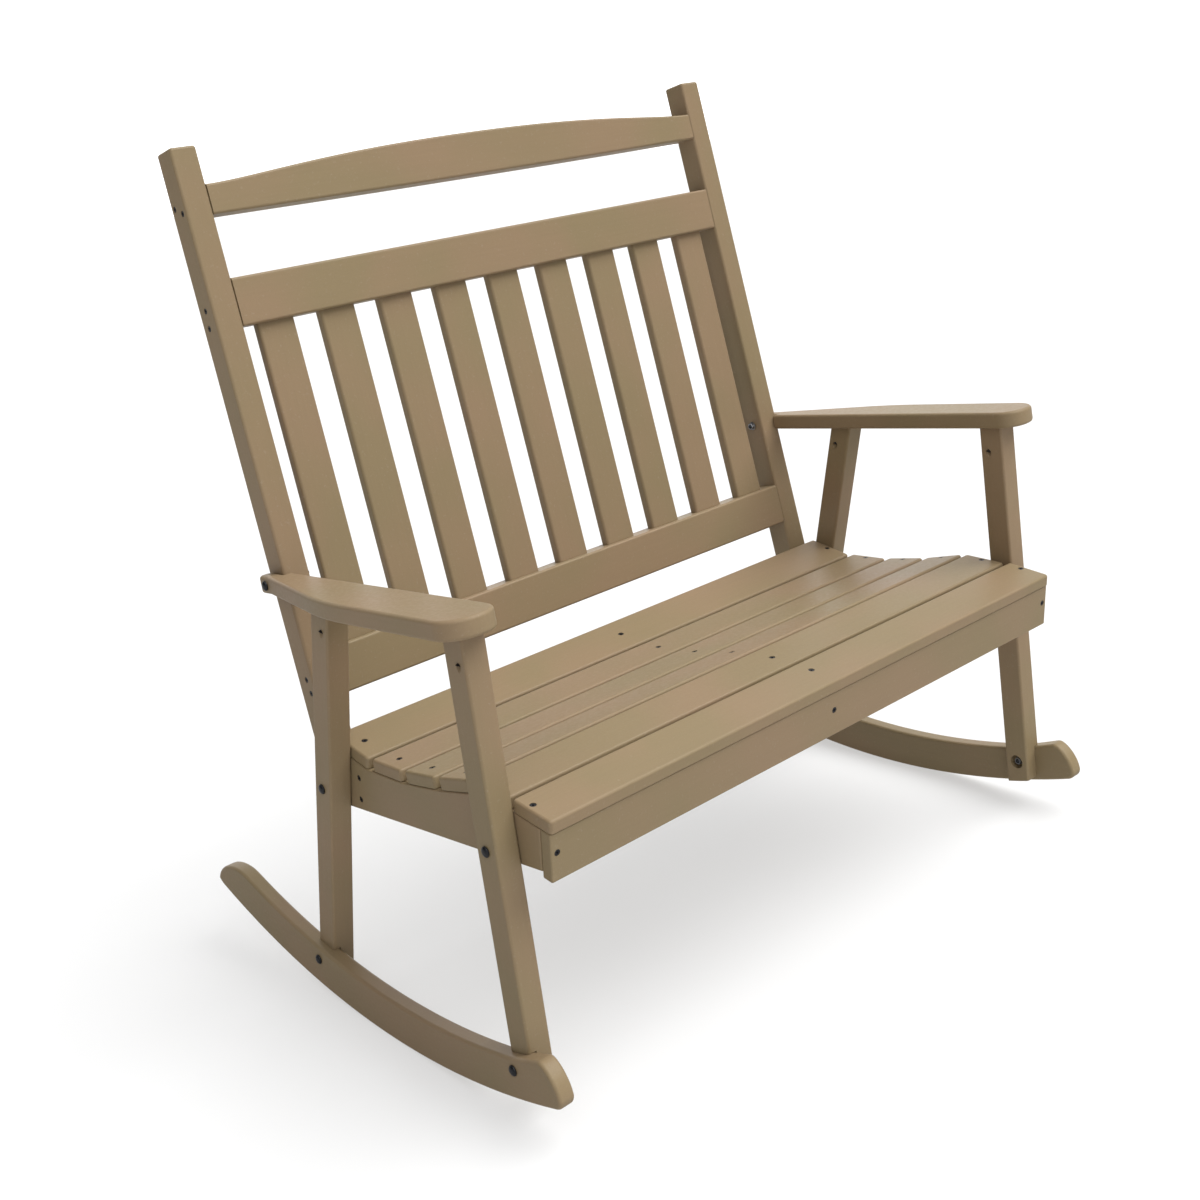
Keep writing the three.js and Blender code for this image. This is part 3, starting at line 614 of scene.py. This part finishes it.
# Places of the screws in the posts' outer faces, in the level side view, by rail
POST_SCREWS = {
    "crest_rail": {"front": (0.5810, 0.7500), "rear": (0.6020, 0.7580)},
    "upper_rail": {"upper": (0.5780, 0.6180), "lower": (0.5780, 0.5940)},
    "lower_rail": {"upper": (0.5220, 0.1000), "lower": (0.5170, 0.0810)},
}


def post_screws(side):
    """Frames of the screws that run through a post into the rails."""
    low, high = level_box(f"{side}_back_post")
    level = level_frame()
    face, inward = (low.x, 1) if side == "left" else (high.x, -1)
    return {
        f"{side}_{rail}_screw_{name}": level @ towards((face, *spot), (inward, 0, 0))
        for rail, pair in POST_SCREWS.items()
        for name, spot in pair.items()
    }


FOOT_SCREW_RISES = {"upper": 0.052, "lower": 0.026}  # above the post's lower end


def foot_screws(side):
    """Frames of the screws from behind a post's foot into the seat support."""
    turn, low, high = fitted(f"{side}_back_post", -boards().back_lean)
    forward = turn.to_3x3() @ Vector((0, -1, 0))
    across = (low.x + high.x) / 2
    return {
        f"{side}_post_foot_screw_{name}": towards(
            turn @ Vector((across, high.y, low.z + rise)), forward
        )
        for name, rise in FOOT_SCREW_RISES.items()
    }


TOE_SCREW_DROP = 0.04  # below the arm's underside
TOE_SCREW_TILT = math.radians(60)  # from square to the leg's face up to the arm
TOE_SCREW_LENGTH = 0.056
TOE_SCREW_SHIFTS = {"outer": -0.0065, "inner": 0.0055}  # to the rear of the leg's middle


def toe_screws(side, leg, lean):
    """Frames of the slanting screws from a leg's faces up into the arm."""
    turn, low, high = fitted(f"{side}_{leg}_leg", lean)
    middle = (low.y + high.y) / 2
    found = {}
    for face, inward in ((low.x, 1), (high.x, -1)):
        name = "inner" if inward == SIDES[side] else "outer"
        rise = Vector((inward * math.cos(TOE_SCREW_TILT), 0, math.sin(TOE_SCREW_TILT)))
        spot = Vector((face, middle + TOE_SCREW_SHIFTS[name], high.z - TOE_SCREW_DROP))
        found[f"{side}_{leg}_leg_toe_screw_{name}"] = towards(turn @ spot, turn.to_3x3() @ rise)
    return found


# Rockers and legs

ARC_STEPS = 60
BEND_STEPS = 10
SMALL_STEP = 0.0001  # along an arc, to find its heading


def lower_arc(y_centre, z_centre, radius):
    """A function for the heights of a circle's lower side."""
    return lambda y: z_centre - math.sqrt(radius**2 - (y - y_centre) ** 2)


def rocker_arcs():
    """Functions for the heights of the sole and of the rocker's top in the level frame."""
    r = bpy.context.scene.bench_rockers
    top_z = r.sole_z - r.sole_radius + r.depth + r.top_radius
    return lower_arc(r.sole_y, r.sole_z, r.sole_radius), lower_arc(r.top_y, top_z, r.top_radius)


# Knots of the rocker's ends, going round from the sole's rear: the distance in from the end, the
# height above the sole or the top, the heading in degrees, and the curve's reach on both sides
TAIL_KNOTS = (
    (0.025, "sole", 0, None, 0.01, 0.01),
    (0.0105, "sole", 0.0095, 122, 0.006, 0.034),
    (0.115, "top", 0, None, 0.032, 0.032),
)
TOE_KNOTS = (
    (0.100, "top", 0, None, 0.022, 0.022),
    (0.034, "top", 0.0049, 164.8, 0.024, 0.011),
    (0.0016, "sole", 0.0113, 267, 0.022, 0.006),
    (0.013, "sole", 0, None, 0.008, 0.008),
)


def bent(knots):
    """A smooth line through knots: each is a point, its heading and its reach before and after."""
    line = []
    for (a, a_way, _, a_reach), (c, c_way, c_reach, _) in zip(knots, knots[1:]):
        part = interpolate_bezier(a, a + a_way * a_reach, c - c_way * c_reach, c, BEND_STEPS + 1)
        line += [Vector(p[:2]) for p in (part if a is knots[0][0] else part[1:])]
    return line


def end_knots(table, tail):
    """The knots of one end as points, with their headings, in the level side view."""
    r = bpy.context.scene.bench_rockers
    arcs = dict(zip(("sole", "top"), rocker_arcs()))
    found = []
    for inward, arc, above, heading, before, after in table:
        y = r.front + r.reach - inward if tail else r.front + inward
        if heading is None:
            step = SMALL_STEP if arc == "sole" else -SMALL_STEP
            way = Vector((step, arcs[arc](y + step) - arcs[arc](y))).normalized()
        else:
            way = Vector((math.cos(math.radians(heading)), math.sin(math.radians(heading))))
        found.append((Vector((y, arcs[arc](y) + above)), way, before, after))
    return found


def arc_points(arc, start, end):
    """Points between two places on an arc, without the places themselves."""
    places = (start + (end - start) * i / ARC_STEPS for i in range(1, ARC_STEPS))
    return [Vector((y, arc(y))) for y in places]


def rocker_top_edge():
    """The rocker's top in the level side view, from its tail's knot to its toe's nose."""
    _, top = rocker_arcs()
    toe = end_knots(TOE_KNOTS, False)
    tail_end = end_knots(TAIL_KNOTS, True)[-1][0]
    return [tail_end, *arc_points(top, tail_end.x, toe[0][0].x), *bent(toe[:2])]


def rocker_outline():
    r = bpy.context.scene.bench_rockers
    sole, _ = rocker_arcs()
    tail, toe = bent(end_knots(TAIL_KNOTS, True)), bent(end_knots(TOE_KNOTS, False)[1:])
    touch = r.sole_y + r.sole_radius * math.sin(boards().rest_tilt)
    under = arc_points(sole, toe[-1].x, tail[0].x) + [Vector((touch, sole(touch)))]
    return sorted(under, key=lambda p: p.x) + tail[:-1] + rocker_top_edge()[:-1] + toe


BOLT_DRILL_REACH = 0.12


def cross_drills(side, *names):
    """Cutters for bolt holes across the bench. The left side's mirror the right side's."""
    made = []
    for name in names:
        x, y, z = middle_of(f"right_{name}_bolt")
        place = level_frame() @ towards((x * SIDES[side], y, z), (1, 0, 0))
        made.append((drum(fasteners().bolt_hole, -BOLT_DRILL_REACH, BOLT_DRILL_REACH), place))
    return made


def long_board(node, slope, edge, rim, fit=0):
    """An upright board's body and place. The edge and the rim are its roundings.

    A fit makes it the cutter for a slot that the board stands in.
    """
    turn, low, high = fitted(node, slope)
    outline = section(high.x - low.x + 2 * fit, high.y - low.y + 2 * fit, edge + fit)
    half = (high.z - low.z) / 2 + fit
    place = turn @ Matrix.Translation((low + high) / 2) @ ALONG_Z
    return prism(outline, -half, half, rim, "YZ"), place


class BENCH_OT_rockers(Operator):
    """Make the two curved rockers"""

    bl_idname = "bench.rockers"
    bl_label = "Rockers"

    def execute(self, context):
        for side in SIDES:
            low, high = level_box(f"{side}_rocker")
            bm = prism(rocker_outline(), low.x, high.x, boards().broad_rounding)
            drills = cross_drills(side, "front_rocker", "rear_rocker")
            make_board(f"{side}_rocker", bm, level_frame() @ ALONG_Y, [drills])
        return {"FINISHED"}


LEG_TRIM = (-0.05, 1.0)  # the trims reach from before the rockers to behind them
ARM_TRIM = 0.3  # how far the trim under the arm reaches up
SIDE_TRIM = 0.1  # how far the cutters of the lap and the nut's recess reach out of the leg


class BENCH_OT_legs(Operator):
    """Make the four legs, lapped for the rockers and recessed for the nuts"""

    bl_idname = "bench.legs"
    bl_label = "Legs"

    def execute(self, context):
        for side in SIDES:
            for leg, lean in legs():
                node = f"{side}_{leg}_leg"
                drills = cross_drills(side, f"{leg}_leg", f"{leg}_rocker")
                toe_holes = screw_holes(toe_screws(side, leg, lean), TOE_SCREW_LENGTH)
                cuts = [*self.trims(side), [self.nut_recess(side, leg)], drills]
                cuts += [[hole] for hole in toe_holes]
                make_board(node, *long_board(node, lean, boards().long_rounding, 0), cuts)
        return {"FINISHED"}

    def trims(self, side):
        """Cutters for the lap over the rocker, for the foot and for the end under the arm."""
        b, sign = boards(), SIDES[side]
        sole, _ = rocker_arcs()
        edge = rocker_top_edge()
        lap = [(y, z + b.joint_gap) for y, z in edge] + [(edge[-1].x, -FAR), (edge[0].x, -FAR)]
        start, end = LEG_TRIM
        along = [start + (end - start) * i / ARC_STEPS for i in range(ARC_STEPS + 1)]
        foot = [(y, sole(y) + b.foot_clear) for y in along] + [(end, -FAR), (start, -FAR)]
        top = level_box("right_arm")[0].z - b.joint_gap
        crown = [(start, top), (end, top), (end, top + ARM_TRIM), (start, top + ARM_TRIM)]
        inner = level_box(f"{side}_rocker")[0 if sign > 0 else 1].x - sign * b.joint_gap
        lap_ends = sorted((inner, inner + sign * SIDE_TRIM))
        place = level_frame() @ ALONG_Y
        ends = ((lap, lap_ends), (foot, (-FAR, FAR)), (crown, (-FAR, FAR)))
        return [[(prism(outline, *reach, 0), place)] for outline, reach in ends]

    def nut_recess(self, side, leg):
        """A cutter for the round recess in a foot's inner face."""
        f, sign = fasteners(), SIDES[side]
        nut = middle_of(f"{side}_{leg}_rocker_nut")
        deep = level_box(f"{side}_{leg}_leg")[0 if sign > 0 else 1].x + sign * f.recess_depth
        place = level_frame() @ towards((deep, nut.y, nut.z), (sign, 0, 0))
        return drum(f.recess_radius, -SIDE_TRIM, 0), place


ARM_BEND_STEPS = 12


class BENCH_OT_arms(Operator):
    """Make the two arms, notched for the posts and narrowed to a tail"""

    bl_idname = "bench.arms"
    bl_label = "Arms"

    def execute(self, context):
        a, b = context.scene.bench_arms, boards()
        level = level_frame()
        bolt = middle_of("right_arm_bolt")
        low, high = level_box("right_arm")
        leg_inner = level_box("right_front_leg")[0].x
        turn, post_low, _ = fitted("right_back_post", -b.back_lean)
        corner = level.inverted() @ turn @ Vector((0, post_low.y, 0))
        notch = corner.y + (low.z - corner.z) * math.tan(b.back_lean) - 2 * b.joint_gap
        turns = [a.bend_angle * i / ARM_BEND_STEPS for i in range(ARM_BEND_STEPS + 1)]
        bend = [
            (high.x - a.bend_radius * (1 - math.cos(t)), a.bend_start + a.bend_radius * math.sin(t))
            for t in turns
        ]
        outline = rounded([
            ((low.x, a.front), a.inner_corner),
            ((high.x, a.front), a.outer_corner),
            *bend,
            (leg_inner + a.tail_width, bolt.y - a.tail_ahead),
            ((leg_inner + a.tail_width, high.y), a.tail_corner),
            ((leg_inner, high.y), a.tail_corner),
            (leg_inner, notch),
            (low.x, notch),
        ])
        for side, sign in SIDES.items():
            own = [(y, -x * sign) for x, y in outline]
            bm = prism(own, low.z, high.z, b.broad_rounding)
            make_board(f"{side}_arm", bm, level @ FLAT_Y, [cross_drills(side, "arm")])
        return {"FINISHED"}


# Seat


def slat_edges():
    """Front and rear lower edges of the seat slats in the level side view, from the front."""
    back = level_frame().inverted()
    found = []
    for turn, low, high in fitted_slats():
        drop = Vector((0, 0, -boards().joint_gap))
        found += [back @ turn @ (Vector((0, y, low.z)) + drop) for y in (low.y, high.y)]
    return found


class BENCH_OT_seat_slats(Operator):
    """Make the six seat slats with their countersunk holes"""

    bl_idname = "bench.seat_slats"
    bl_label = "Seat slats"

    def execute(self, context):
        b = boards()
        for i, ((turn, low, high), screws) in enumerate(zip(fitted_slats(), seat_screws())):
            outline = section(high.x - low.x, high.y - low.y, b.seat_corner)
            thick = high.z - low.z
            bm = prism(outline, -thick / 2, thick / 2, (b.lower_rounding, b.long_rounding))
            place = turn @ Matrix.Translation((low + high) / 2)
            make_board(f"seat_slat_{i + 1}", bm, place, [screw_holes(screws, 2 * thick)])
        return {"FINISHED"}


def cross_board(node, slope, rim, edge=None):
    """A board across the bench whose deep faces look to the front and rear."""
    turn, low, high = fitted(node, slope)
    outline = section(high.y - low.y, high.z - low.z, edge or boards().long_rounding)
    half = (high.x - low.x) / 2
    bm = prism(outline, -half, half, rim, "YZ")
    return bm, turn @ Matrix.Translation((low + high) / 2)


def node_screw(node, direction):
    """A packed screw's frame, with its head's top at the node's end, and its length."""
    ahead = Vector(direction).normalized()
    along = [v.co.dot(ahead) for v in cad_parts[node].data.vertices]
    low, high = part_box(node)
    middle = (low + high) / 2
    top = middle + ahead * (min(along) - middle.dot(ahead))
    return towards(top, ahead), max(along) - min(along)


def frame_screws():
    """Frames and lengths of the apron's and the stretcher's screws, by node."""
    apron_back = Matrix.Rotation(seat_slopes()[0] - boards().rest_tilt, 3, "X") @ Vector((0, 1, 0))
    ways = {f"apron_screw_{n}": apron_back for n in ("left", "centre", "right")}
    for side, sign in SIDES.items():
        ways |= {f"{side}_stretcher_screw_{n}": (-sign, 0, 0) for n in ("upper", "lower")}
    return {node: node_screw(node, way) for node, way in ways.items()}


FRAME_HOLE_DEPTH = 0.03  # through the apron and the side plates
END_SLACK = 0.0001  # how far off an end face its own corners may lie


class BENCH_OT_seat_frame(Operator):
    """Make the apron, the stretcher and the three seat supports"""

    bl_idname = "bench.seat_frame"
    bl_label = "Seat frame"

    def execute(self, context):
        b, slope = boards(), seat_slopes()[0]
        apron = cross_board("front_apron", slope, b.plate_rounding, b.apron_rounding)
        make_board("front_apron", *apron, [self.holes("apron")])
        make_board("rear_stretcher", *cross_board("rear_stretcher", slope, b.butt_rounding))

        for node in ("left_side_plate", "right_side_plate", "centre_support"):
            low, high = level_box(node)
            bm = prism(self.outline(node), low.x, high.x, b.plate_rounding)
            side, cuts = node.split("_")[0], []
            if side in SIDES:
                cuts.append(self.holes(f"{side}_stretcher"))
                cuts.append(cross_drills(side, "front_leg", "rear_leg"))
            make_board(node, bm, level_frame() @ ALONG_Y, cuts)
        return {"FINISHED"}

    def holes(self, start):
        """Cutters for the screws whose names start alike."""
        places = [m for name, (m, _) in frame_screws().items() if name.startswith(start)]
        return [screw_hole(m, FRAME_HOLE_DEPTH) for m in places]

    def outline(self, node):
        """A support in the side view: its lower edge straight, its top hollowed to the slats."""
        rear_slope = -boards().back_lean if "plate" in node else seat_slopes()[0]
        front_low, front_high = self.end_face(node, seat_slopes()[0], False)
        rear_low, rear_high = self.end_face(node, rear_slope, True)
        under = [p for p in slat_edges() if front_high.y < p.y < rear_high.y]
        outline = [front_low, rear_low, rear_high, *reversed(under), front_high]
        return [(p.y, p.z) for p in outline]

    def end_face(self, node, slope, rear):
        """Lowest and highest points of a support's front or rear end in the level frame."""
        turn, low, high = fitted(node, slope)
        back = turn.inverted()
        end = high.y if rear else low.y
        points = [back @ v.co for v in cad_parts[node].data.vertices]
        points = [p for p in points if abs(p.y - end) < END_SLACK]
        level = level_frame().inverted() @ turn
        return [level @ pick(points, key=lambda p: p.z) for pick in (min, max)]


# Back


class BENCH_OT_back_posts(Operator):
    """Make the two posts of the back"""

    bl_idname = "bench.back_posts"
    bl_label = "Back posts"

    def execute(self, context):
        b = boards()
        rim = (b.butt_rounding, b.post_top)
        for side in SIDES:
            node = f"{side}_back_post"
            low, high = level_box(node)
            through = 2 * (high.x - low.x)
            cuts = [cross_drills(side, "arm")]
            cuts += [screw_holes(make(side), through) for make in (post_screws, foot_screws)]
            make_board(node, *long_board(node, -b.back_lean, b.post_rounding, rim), cuts)
        return {"FINISHED"}


def back_slat(number, fit=0):
    """A back slat's body and place, or with a fit the cutter for its slots."""
    b = boards()
    return long_board(f"back_slat_{number}", -b.back_lean, b.slat_rounding, 0, fit)


class BENCH_OT_back_slats(Operator):
    """Make the nine upright slats"""

    bl_idname = "bench.back_slats"
    bl_label = "Back slats"

    def execute(self, context):
        for number in range(1, BACK_SLATS + 1):
            make_board(f"back_slat_{number}", *back_slat(number))
        return {"FINISHED"}


CREST_STEPS = 64
CREST_SPARE = 0.02  # how far the crest is drawn past each end, to be trimmed square
CREST_TRIM = (0.4, 0.2)  # height and thickness of what trims it


class BENCH_OT_back_rails(Operator):
    """Make the arched crest rail and the two slotted rails"""

    bl_idname = "bench.back_rails"
    bl_label = "Back rails"

    def execute(self, context):
        b = boards()
        for node in ("lower_rail", "upper_rail"):
            slots = [back_slat(i + 1, b.slot_fit) for i in range(BACK_SLATS)]
            make_board(node, *cross_board(node, -b.back_lean, b.butt_rounding), [slots])

        turn, low, high = fitted("crest_rail", -b.back_lean)
        half = (high.y - low.y) / 2
        place = turn @ Matrix.Translation((0, (low.y + high.y) / 2, low.z)) @ UPRIGHT_X
        bm = prism(self.crest_outline(high.x), -half, half, b.long_rounding)

        tall, deep = CREST_TRIM
        block = section(4 * CREST_SPARE, tall, 0)
        trims = []
        for sign in SIDES.values():
            shift = Matrix.Translation((sign * (high.x + 2 * CREST_SPARE), 0, 0))
            trims.append((prism(block, -deep / 2, deep / 2, 0), place @ shift))
        make_board("crest_rail", bm, place, [trims])
        return {"FINISHED"}

    def crest_outline(self, end):
        """The arch over a bowed lower edge. It falls to the posts and levels out beside them."""
        b = boards()
        power, late = b.crest_power, b.crest_power + b.crest_ease

        def fall(x):
            share = min(abs(x) / end, 1)
            return (share**power / power - share**late / late) / (1 / power - 1 / late)

        spots = (end * (2 * i / CREST_STEPS - 1) for i in range(CREST_STEPS + 1))
        along = [-end - CREST_SPARE, *spots, end + CREST_SPARE]
        outline = [(x, b.crest_bow * fall(x)) for x in along]
        return outline + [(x, b.crest_depth - b.crest_fall * fall(x)) for x in reversed(along)]


# Bolts, nuts and screws

BOLT_NAMES = ("front_leg", "rear_leg", "front_rocker", "rear_rocker", "arm")
THREAD_DEPTH = 0.0005
TIP_BEVEL = (0.0005, 0.0006)  # across and along the bolt
HEAD_BEVEL = (0.0003, 0.0004)
HEAD_BRIM = 0.0009  # height of the head's edge below its dome
DOME_STEPS = 12
NUT_BORE_FIT = 0.0003  # space round the bolt
NUT_BEVEL = 0.0004
NUT_BRIM = 0.0013  # height of the flange
NUT_CORNERS = 1.06  # reach of the corners at the top, in half widths across the flats
NUT_TOP = (0.94, 0.95)  # size of the top face and reach of its corners, against those below
NUT_TURNS = (0.35, 0.7)  # how far the first nut is turned, and each further one beyond it


def bolt_body(length):
    """A carriage bolt along Z: its tip at zero, its domed head at the far end."""
    f = fasteners()
    crest, root = f.bolt_radius, f.bolt_radius - THREAD_DEPTH
    profile = [(0, 0), (root - TIP_BEVEL[0], 0), (root, TIP_BEVEL[1])]
    at = TIP_BEVEL[1]
    while at < f.thread:
        profile += [(crest, at + f.thread_pitch / 2), (root, at + f.thread_pitch)]
        at += f.thread_pitch
    shank = length - f.head_height
    profile += [(crest, at + f.thread_pitch), (crest, shank)]
    profile += [(f.head_radius - HEAD_BEVEL[0], shank), (f.head_radius, shank + HEAD_BEVEL[1])]
    for i in range(DOME_STEPS + 1):
        turn = math.pi / 2 * i / DOME_STEPS
        radius = 0 if i == DOME_STEPS else f.head_radius * math.cos(turn)
        profile.append((radius, shank + HEAD_BRIM + (f.head_height - HEAD_BRIM) * math.sin(turn)))
    return turned(profile)


def nut_body():
    """A flanged nut along Z, its flange at zero."""
    f = fasteners()
    hexagon, corner = f.nut_across, f.nut_across / 2 * NUT_CORNERS
    bore = f.bolt_radius + NUT_BORE_FIT
    wide, top = f.flange_radius, f.nut_height
    bm = rings([
        round_ring(bore + NUT_BEVEL, 0),
        round_ring(wide - 0.0002, 0),
        round_ring(wide, NUT_BEVEL),
        round_ring(wide, NUT_BRIM - 0.0003),
        round_ring(wide - NUT_BEVEL, NUT_BRIM),
        flat_sided_ring(hexagon, NUT_BRIM + 0.0006, 6),
        flat_sided_ring(hexagon, top - 0.0009, 6),
        flat_sided_ring(hexagon, top - 0.0003, 6, corner),
        flat_sided_ring(hexagon * NUT_TOP[0], top, 6, corner * NUT_TOP[1]),
        round_ring(bore + NUT_BEVEL, top),
        round_ring(bore, top - NUT_BEVEL),
        round_ring(bore, NUT_BEVEL),
        round_ring(bore + NUT_BEVEL, 0),
    ])
    bmesh.ops.remove_doubles(bm, verts=bm.verts, dist=1e-7)
    bmesh.ops.recalc_face_normals(bm, faces=bm.faces)
    return bm


def on_axis(node, way):
    """A bolt's or nut's frame, whose Z runs through it along X or against it, and its length."""
    low, high = level_box(node)
    start = low.x if way > 0 else high.x
    middle = (low + high) / 2
    place = level_frame() @ towards((start, middle.y, middle.z), (way, 0, 0))
    return place, high.x - low.x


class BENCH_OT_bolts(Operator):
    """Make the ten domed bolts"""

    bl_idname = "bench.bolts"
    bl_label = "Bolts"

    def execute(self, context):
        for side, sign in SIDES.items():
            for name in BOLT_NAMES:
                node = f"{side}_{name}_bolt"
                place, long = on_axis(node, sign)
                settle(placed(f"{node}_domed", bolt_body(long), place), "bolt", node)
        return {"FINISHED"}


class BENCH_OT_nuts(Operator):
    """Make the ten flanged nuts"""

    bl_idname = "bench.nuts"
    bl_label = "Nuts"

    def execute(self, context):
        first, further = NUT_TURNS
        for side, sign in SIDES.items():
            for i, name in enumerate(BOLT_NAMES):
                node = f"{side}_{name}_nut"
                turn = Matrix.Rotation(first + further * i, 4, "Z")
                place = on_axis(node, -sign)[0] @ turn
                settle(placed(f"{node}_flanged", nut_body(), place), "nut", node)
        return {"FINISHED"}


SHORT_SCREW = 0.0165  # stays inside the last slat, which has no support under its middle
POST_SCREW_EXTRA = 0.014  # the posts' screws are longer than the seat's


class BENCH_OT_screws(Operator):
    """Make the screws of the seat, the apron, the stretcher, the posts and the arms"""

    bl_idname = "bench.screws"
    bl_label = "Screws"

    def execute(self, context):
        f = fasteners()
        for i, places in enumerate(seat_screws()):
            for name, place in places.items():
                unsupported = name == "centre" and i == len(SEAT_SLOPES) - 1
                long = SHORT_SCREW if unsupported else f.screw_length
                add_screws({f"seat_screw_{i + 1}_{name}": place}, long)
        for node, (place, long) in frame_screws().items():
            settle(placed(f"{node}_dark", screw_body(long), place), "screw", node)
        for side in SIDES:
            add_screws(post_screws(side) | foot_screws(side), f.screw_length + POST_SCREW_EXTRA)
            for leg, lean in legs():
                add_screws(toe_screws(side, leg, lean), TOE_SCREW_LENGTH)
        return {"FINISHED"}


# Stage

CAMERA_AT = (-1.3959, -1.74936, 1.15533)
CAMERA_RIGHT = (0.75426, -0.64181, -0.13847)
CAMERA_UP = (0.24695, 0.0819, 0.96556)
CAMERA_LENS = 45.885
CAMERA_SENSOR = 36
CAMERA_SHIFT = -0.10433
CAMERA_CLIP = (0.05, 200)
FLOOR_RADIUS = 60
FLOOR_THICKNESS = 0.02
FLOOR_SIDES = 96
FLOOR_TONE = (0.995, 1.005)
FLOOR_GLOW = 0.5  # the floor shines by itself too, which softens the shadow
BACKDROP_FACING = (0.62, 0.78, 0)  # the way from the bench to the middle of the white backdrop
BACKDROP_LIGHT = (0.45, 0.95, 0.0, 1.6)  # from how nearly a way faces it to its light
LAMPS_AT = (0, 0, 3)

# Lamps: the way to each, its power, and how wide it looks in degrees
LAMPS = {
    "ceiling_light": ((0, 0, 1), 1.3, 90),
    "window_light": ((0.45, -0.5, 0.95), 3.55, 50),
    "side_light": ((-0.6, -0.65, 0.7), 0.8, 60),
    "front_light": ((-0.25, -1, 0.2), 0.4, 60),
}


class BENCH_OT_stage(Operator):
    """Make the pale floor, the soft lights and the camera"""

    bl_idname = "bench.stage"
    bl_label = "Stage"

    def execute(self, context):
        scene = context.scene
        self.floor(scene)
        self.lights(scene)
        right, up = Vector(CAMERA_RIGHT).normalized(), Vector(CAMERA_UP)
        up = (up - right * up.dot(right)).normalized()
        away = right.cross(up)
        camera = bpy.data.objects.new("camera", bpy.data.cameras.new("camera"))
        scene.collection.objects.link(camera)
        turn = Matrix((right, up, away)).transposed().to_4x4()
        camera.matrix_world = Matrix.Translation(CAMERA_AT) @ turn
        camera.data.lens = CAMERA_LENS
        camera.data.sensor_width = CAMERA_SENSOR
        camera.data.shift_y = CAMERA_SHIFT
        camera.data.clip_start, camera.data.clip_end = CAMERA_CLIP
        scene.camera = camera
        scene.view_settings.view_transform = "Standard"
        return {"FINISHED"}

    def floor(self, scene):
        bm = drum(FLOOR_RADIUS, -FLOOR_THICKNESS, 0, FLOOR_SIDES)
        floor = placed("studio_floor", bm, Matrix.Identity(4))
        material, tree, shader = finish("pale_floor")
        own = add(tree, "TexCoord").outputs["Object"]
        tone = between(tree, noise(tree, own, 3.0), *MOST_NOISE, *FLOOR_TONE)
        tint = (*scene.bench_colours.floor, 1)
        mirrored = add(tree, "LightPath").outputs["Is Glossy Ray"]
        feed(tree, shader, Base_Color=mixed(tree, 1.0, tint, tone, "MULTIPLY"),
             Roughness=0.9, Specular_IOR_Level=0.1, Emission_Color=(1, 1, 1, 1),
             Emission_Strength=between(tree, mirrored, 0, 1, FLOOR_GLOW, 0))
        floor.data.materials.append(material)

    def lights(self, scene):
        world = bpy.data.worlds.new("studio_air")
        world.use_nodes = True
        tree = world.node_tree
        tree.nodes.clear()
        seen = add(tree, "LightPath").outputs["Is Camera Ray"]
        way = add(tree, "TexCoord").outputs["Generated"]
        dot = {"operation": "DOT_PRODUCT"}
        behind = add(tree, "VectorMath", dot, i0=way, i1=BACKDROP_FACING).outputs["Value"]
        backdrop = between(tree, behind, *BACKDROP_LIGHT)
        strength = computed(tree, "MAXIMUM", i0=seen, i1=backdrop)
        air = add(tree, "Background", Color=(1, 1, 1, 1), Strength=strength)
        add(tree, "OutputWorld", Surface=air.outputs[0])
        scene.world = world
        for name, (direction, power, width) in LAMPS.items():
            light = bpy.data.lights.new(name, "SUN")
            light.energy, light.angle = power, math.radians(width)
            lamp = bpy.data.objects.new(name, light)
            scene.collection.objects.link(lamp)
            lamp.matrix_world = towards(LAMPS_AT, direction)


OPERATORS = (
    BENCH_OT_rockers,
    BENCH_OT_legs,
    BENCH_OT_arms,
    BENCH_OT_seat_slats,
    BENCH_OT_seat_frame,
    BENCH_OT_back_posts,
    BENCH_OT_back_rails,
    BENCH_OT_back_slats,
    BENCH_OT_bolts,
    BENCH_OT_nuts,
    BENCH_OT_screws,
    BENCH_OT_stage,
)


class BENCH_PT_panel(Panel):
    """The bench's sizes, colours and pieces"""

    bl_idname = "BENCH_PT_panel"
    bl_label = "Rocking bench"
    bl_space_type = "VIEW_3D"
    bl_region_type = "UI"
    bl_category = "Bench"

    def draw(self, context):
        for name in GROUPS:
            box = self.layout.box()
            group = getattr(context.scene, name)
            for value in group.bl_rna.properties:
                if value.identifier in group.__annotations__:
                    box.prop(group, value.identifier)
        for operator in OPERATORS:
            self.layout.operator(operator.bl_idname)


GROUPS = {
    "bench_boards": BenchBoards,
    "bench_rockers": BenchRockers,
    "bench_arms": BenchArms,
    "bench_fasteners": BenchFasteners,
    "bench_colours": BenchColours,
}
CLASSES = (*GROUPS.values(), *OPERATORS, BENCH_PT_panel)


def register():
    for kind in CLASSES:
        bpy.utils.register_class(kind)
    for name, group in GROUPS.items():
        setattr(bpy.types.Scene, name, PointerProperty(type=group))


def unregister():
    for name in GROUPS:
        delattr(bpy.types.Scene, name)
    for kind in reversed(CLASSES):
        bpy.utils.unregister_class(kind)


def main():
    register()
    for operator in OPERATORS:
        getattr(bpy.ops.bench, operator.bl_idname.removeprefix("bench."))()


if __name__ == "__main__":
    main()
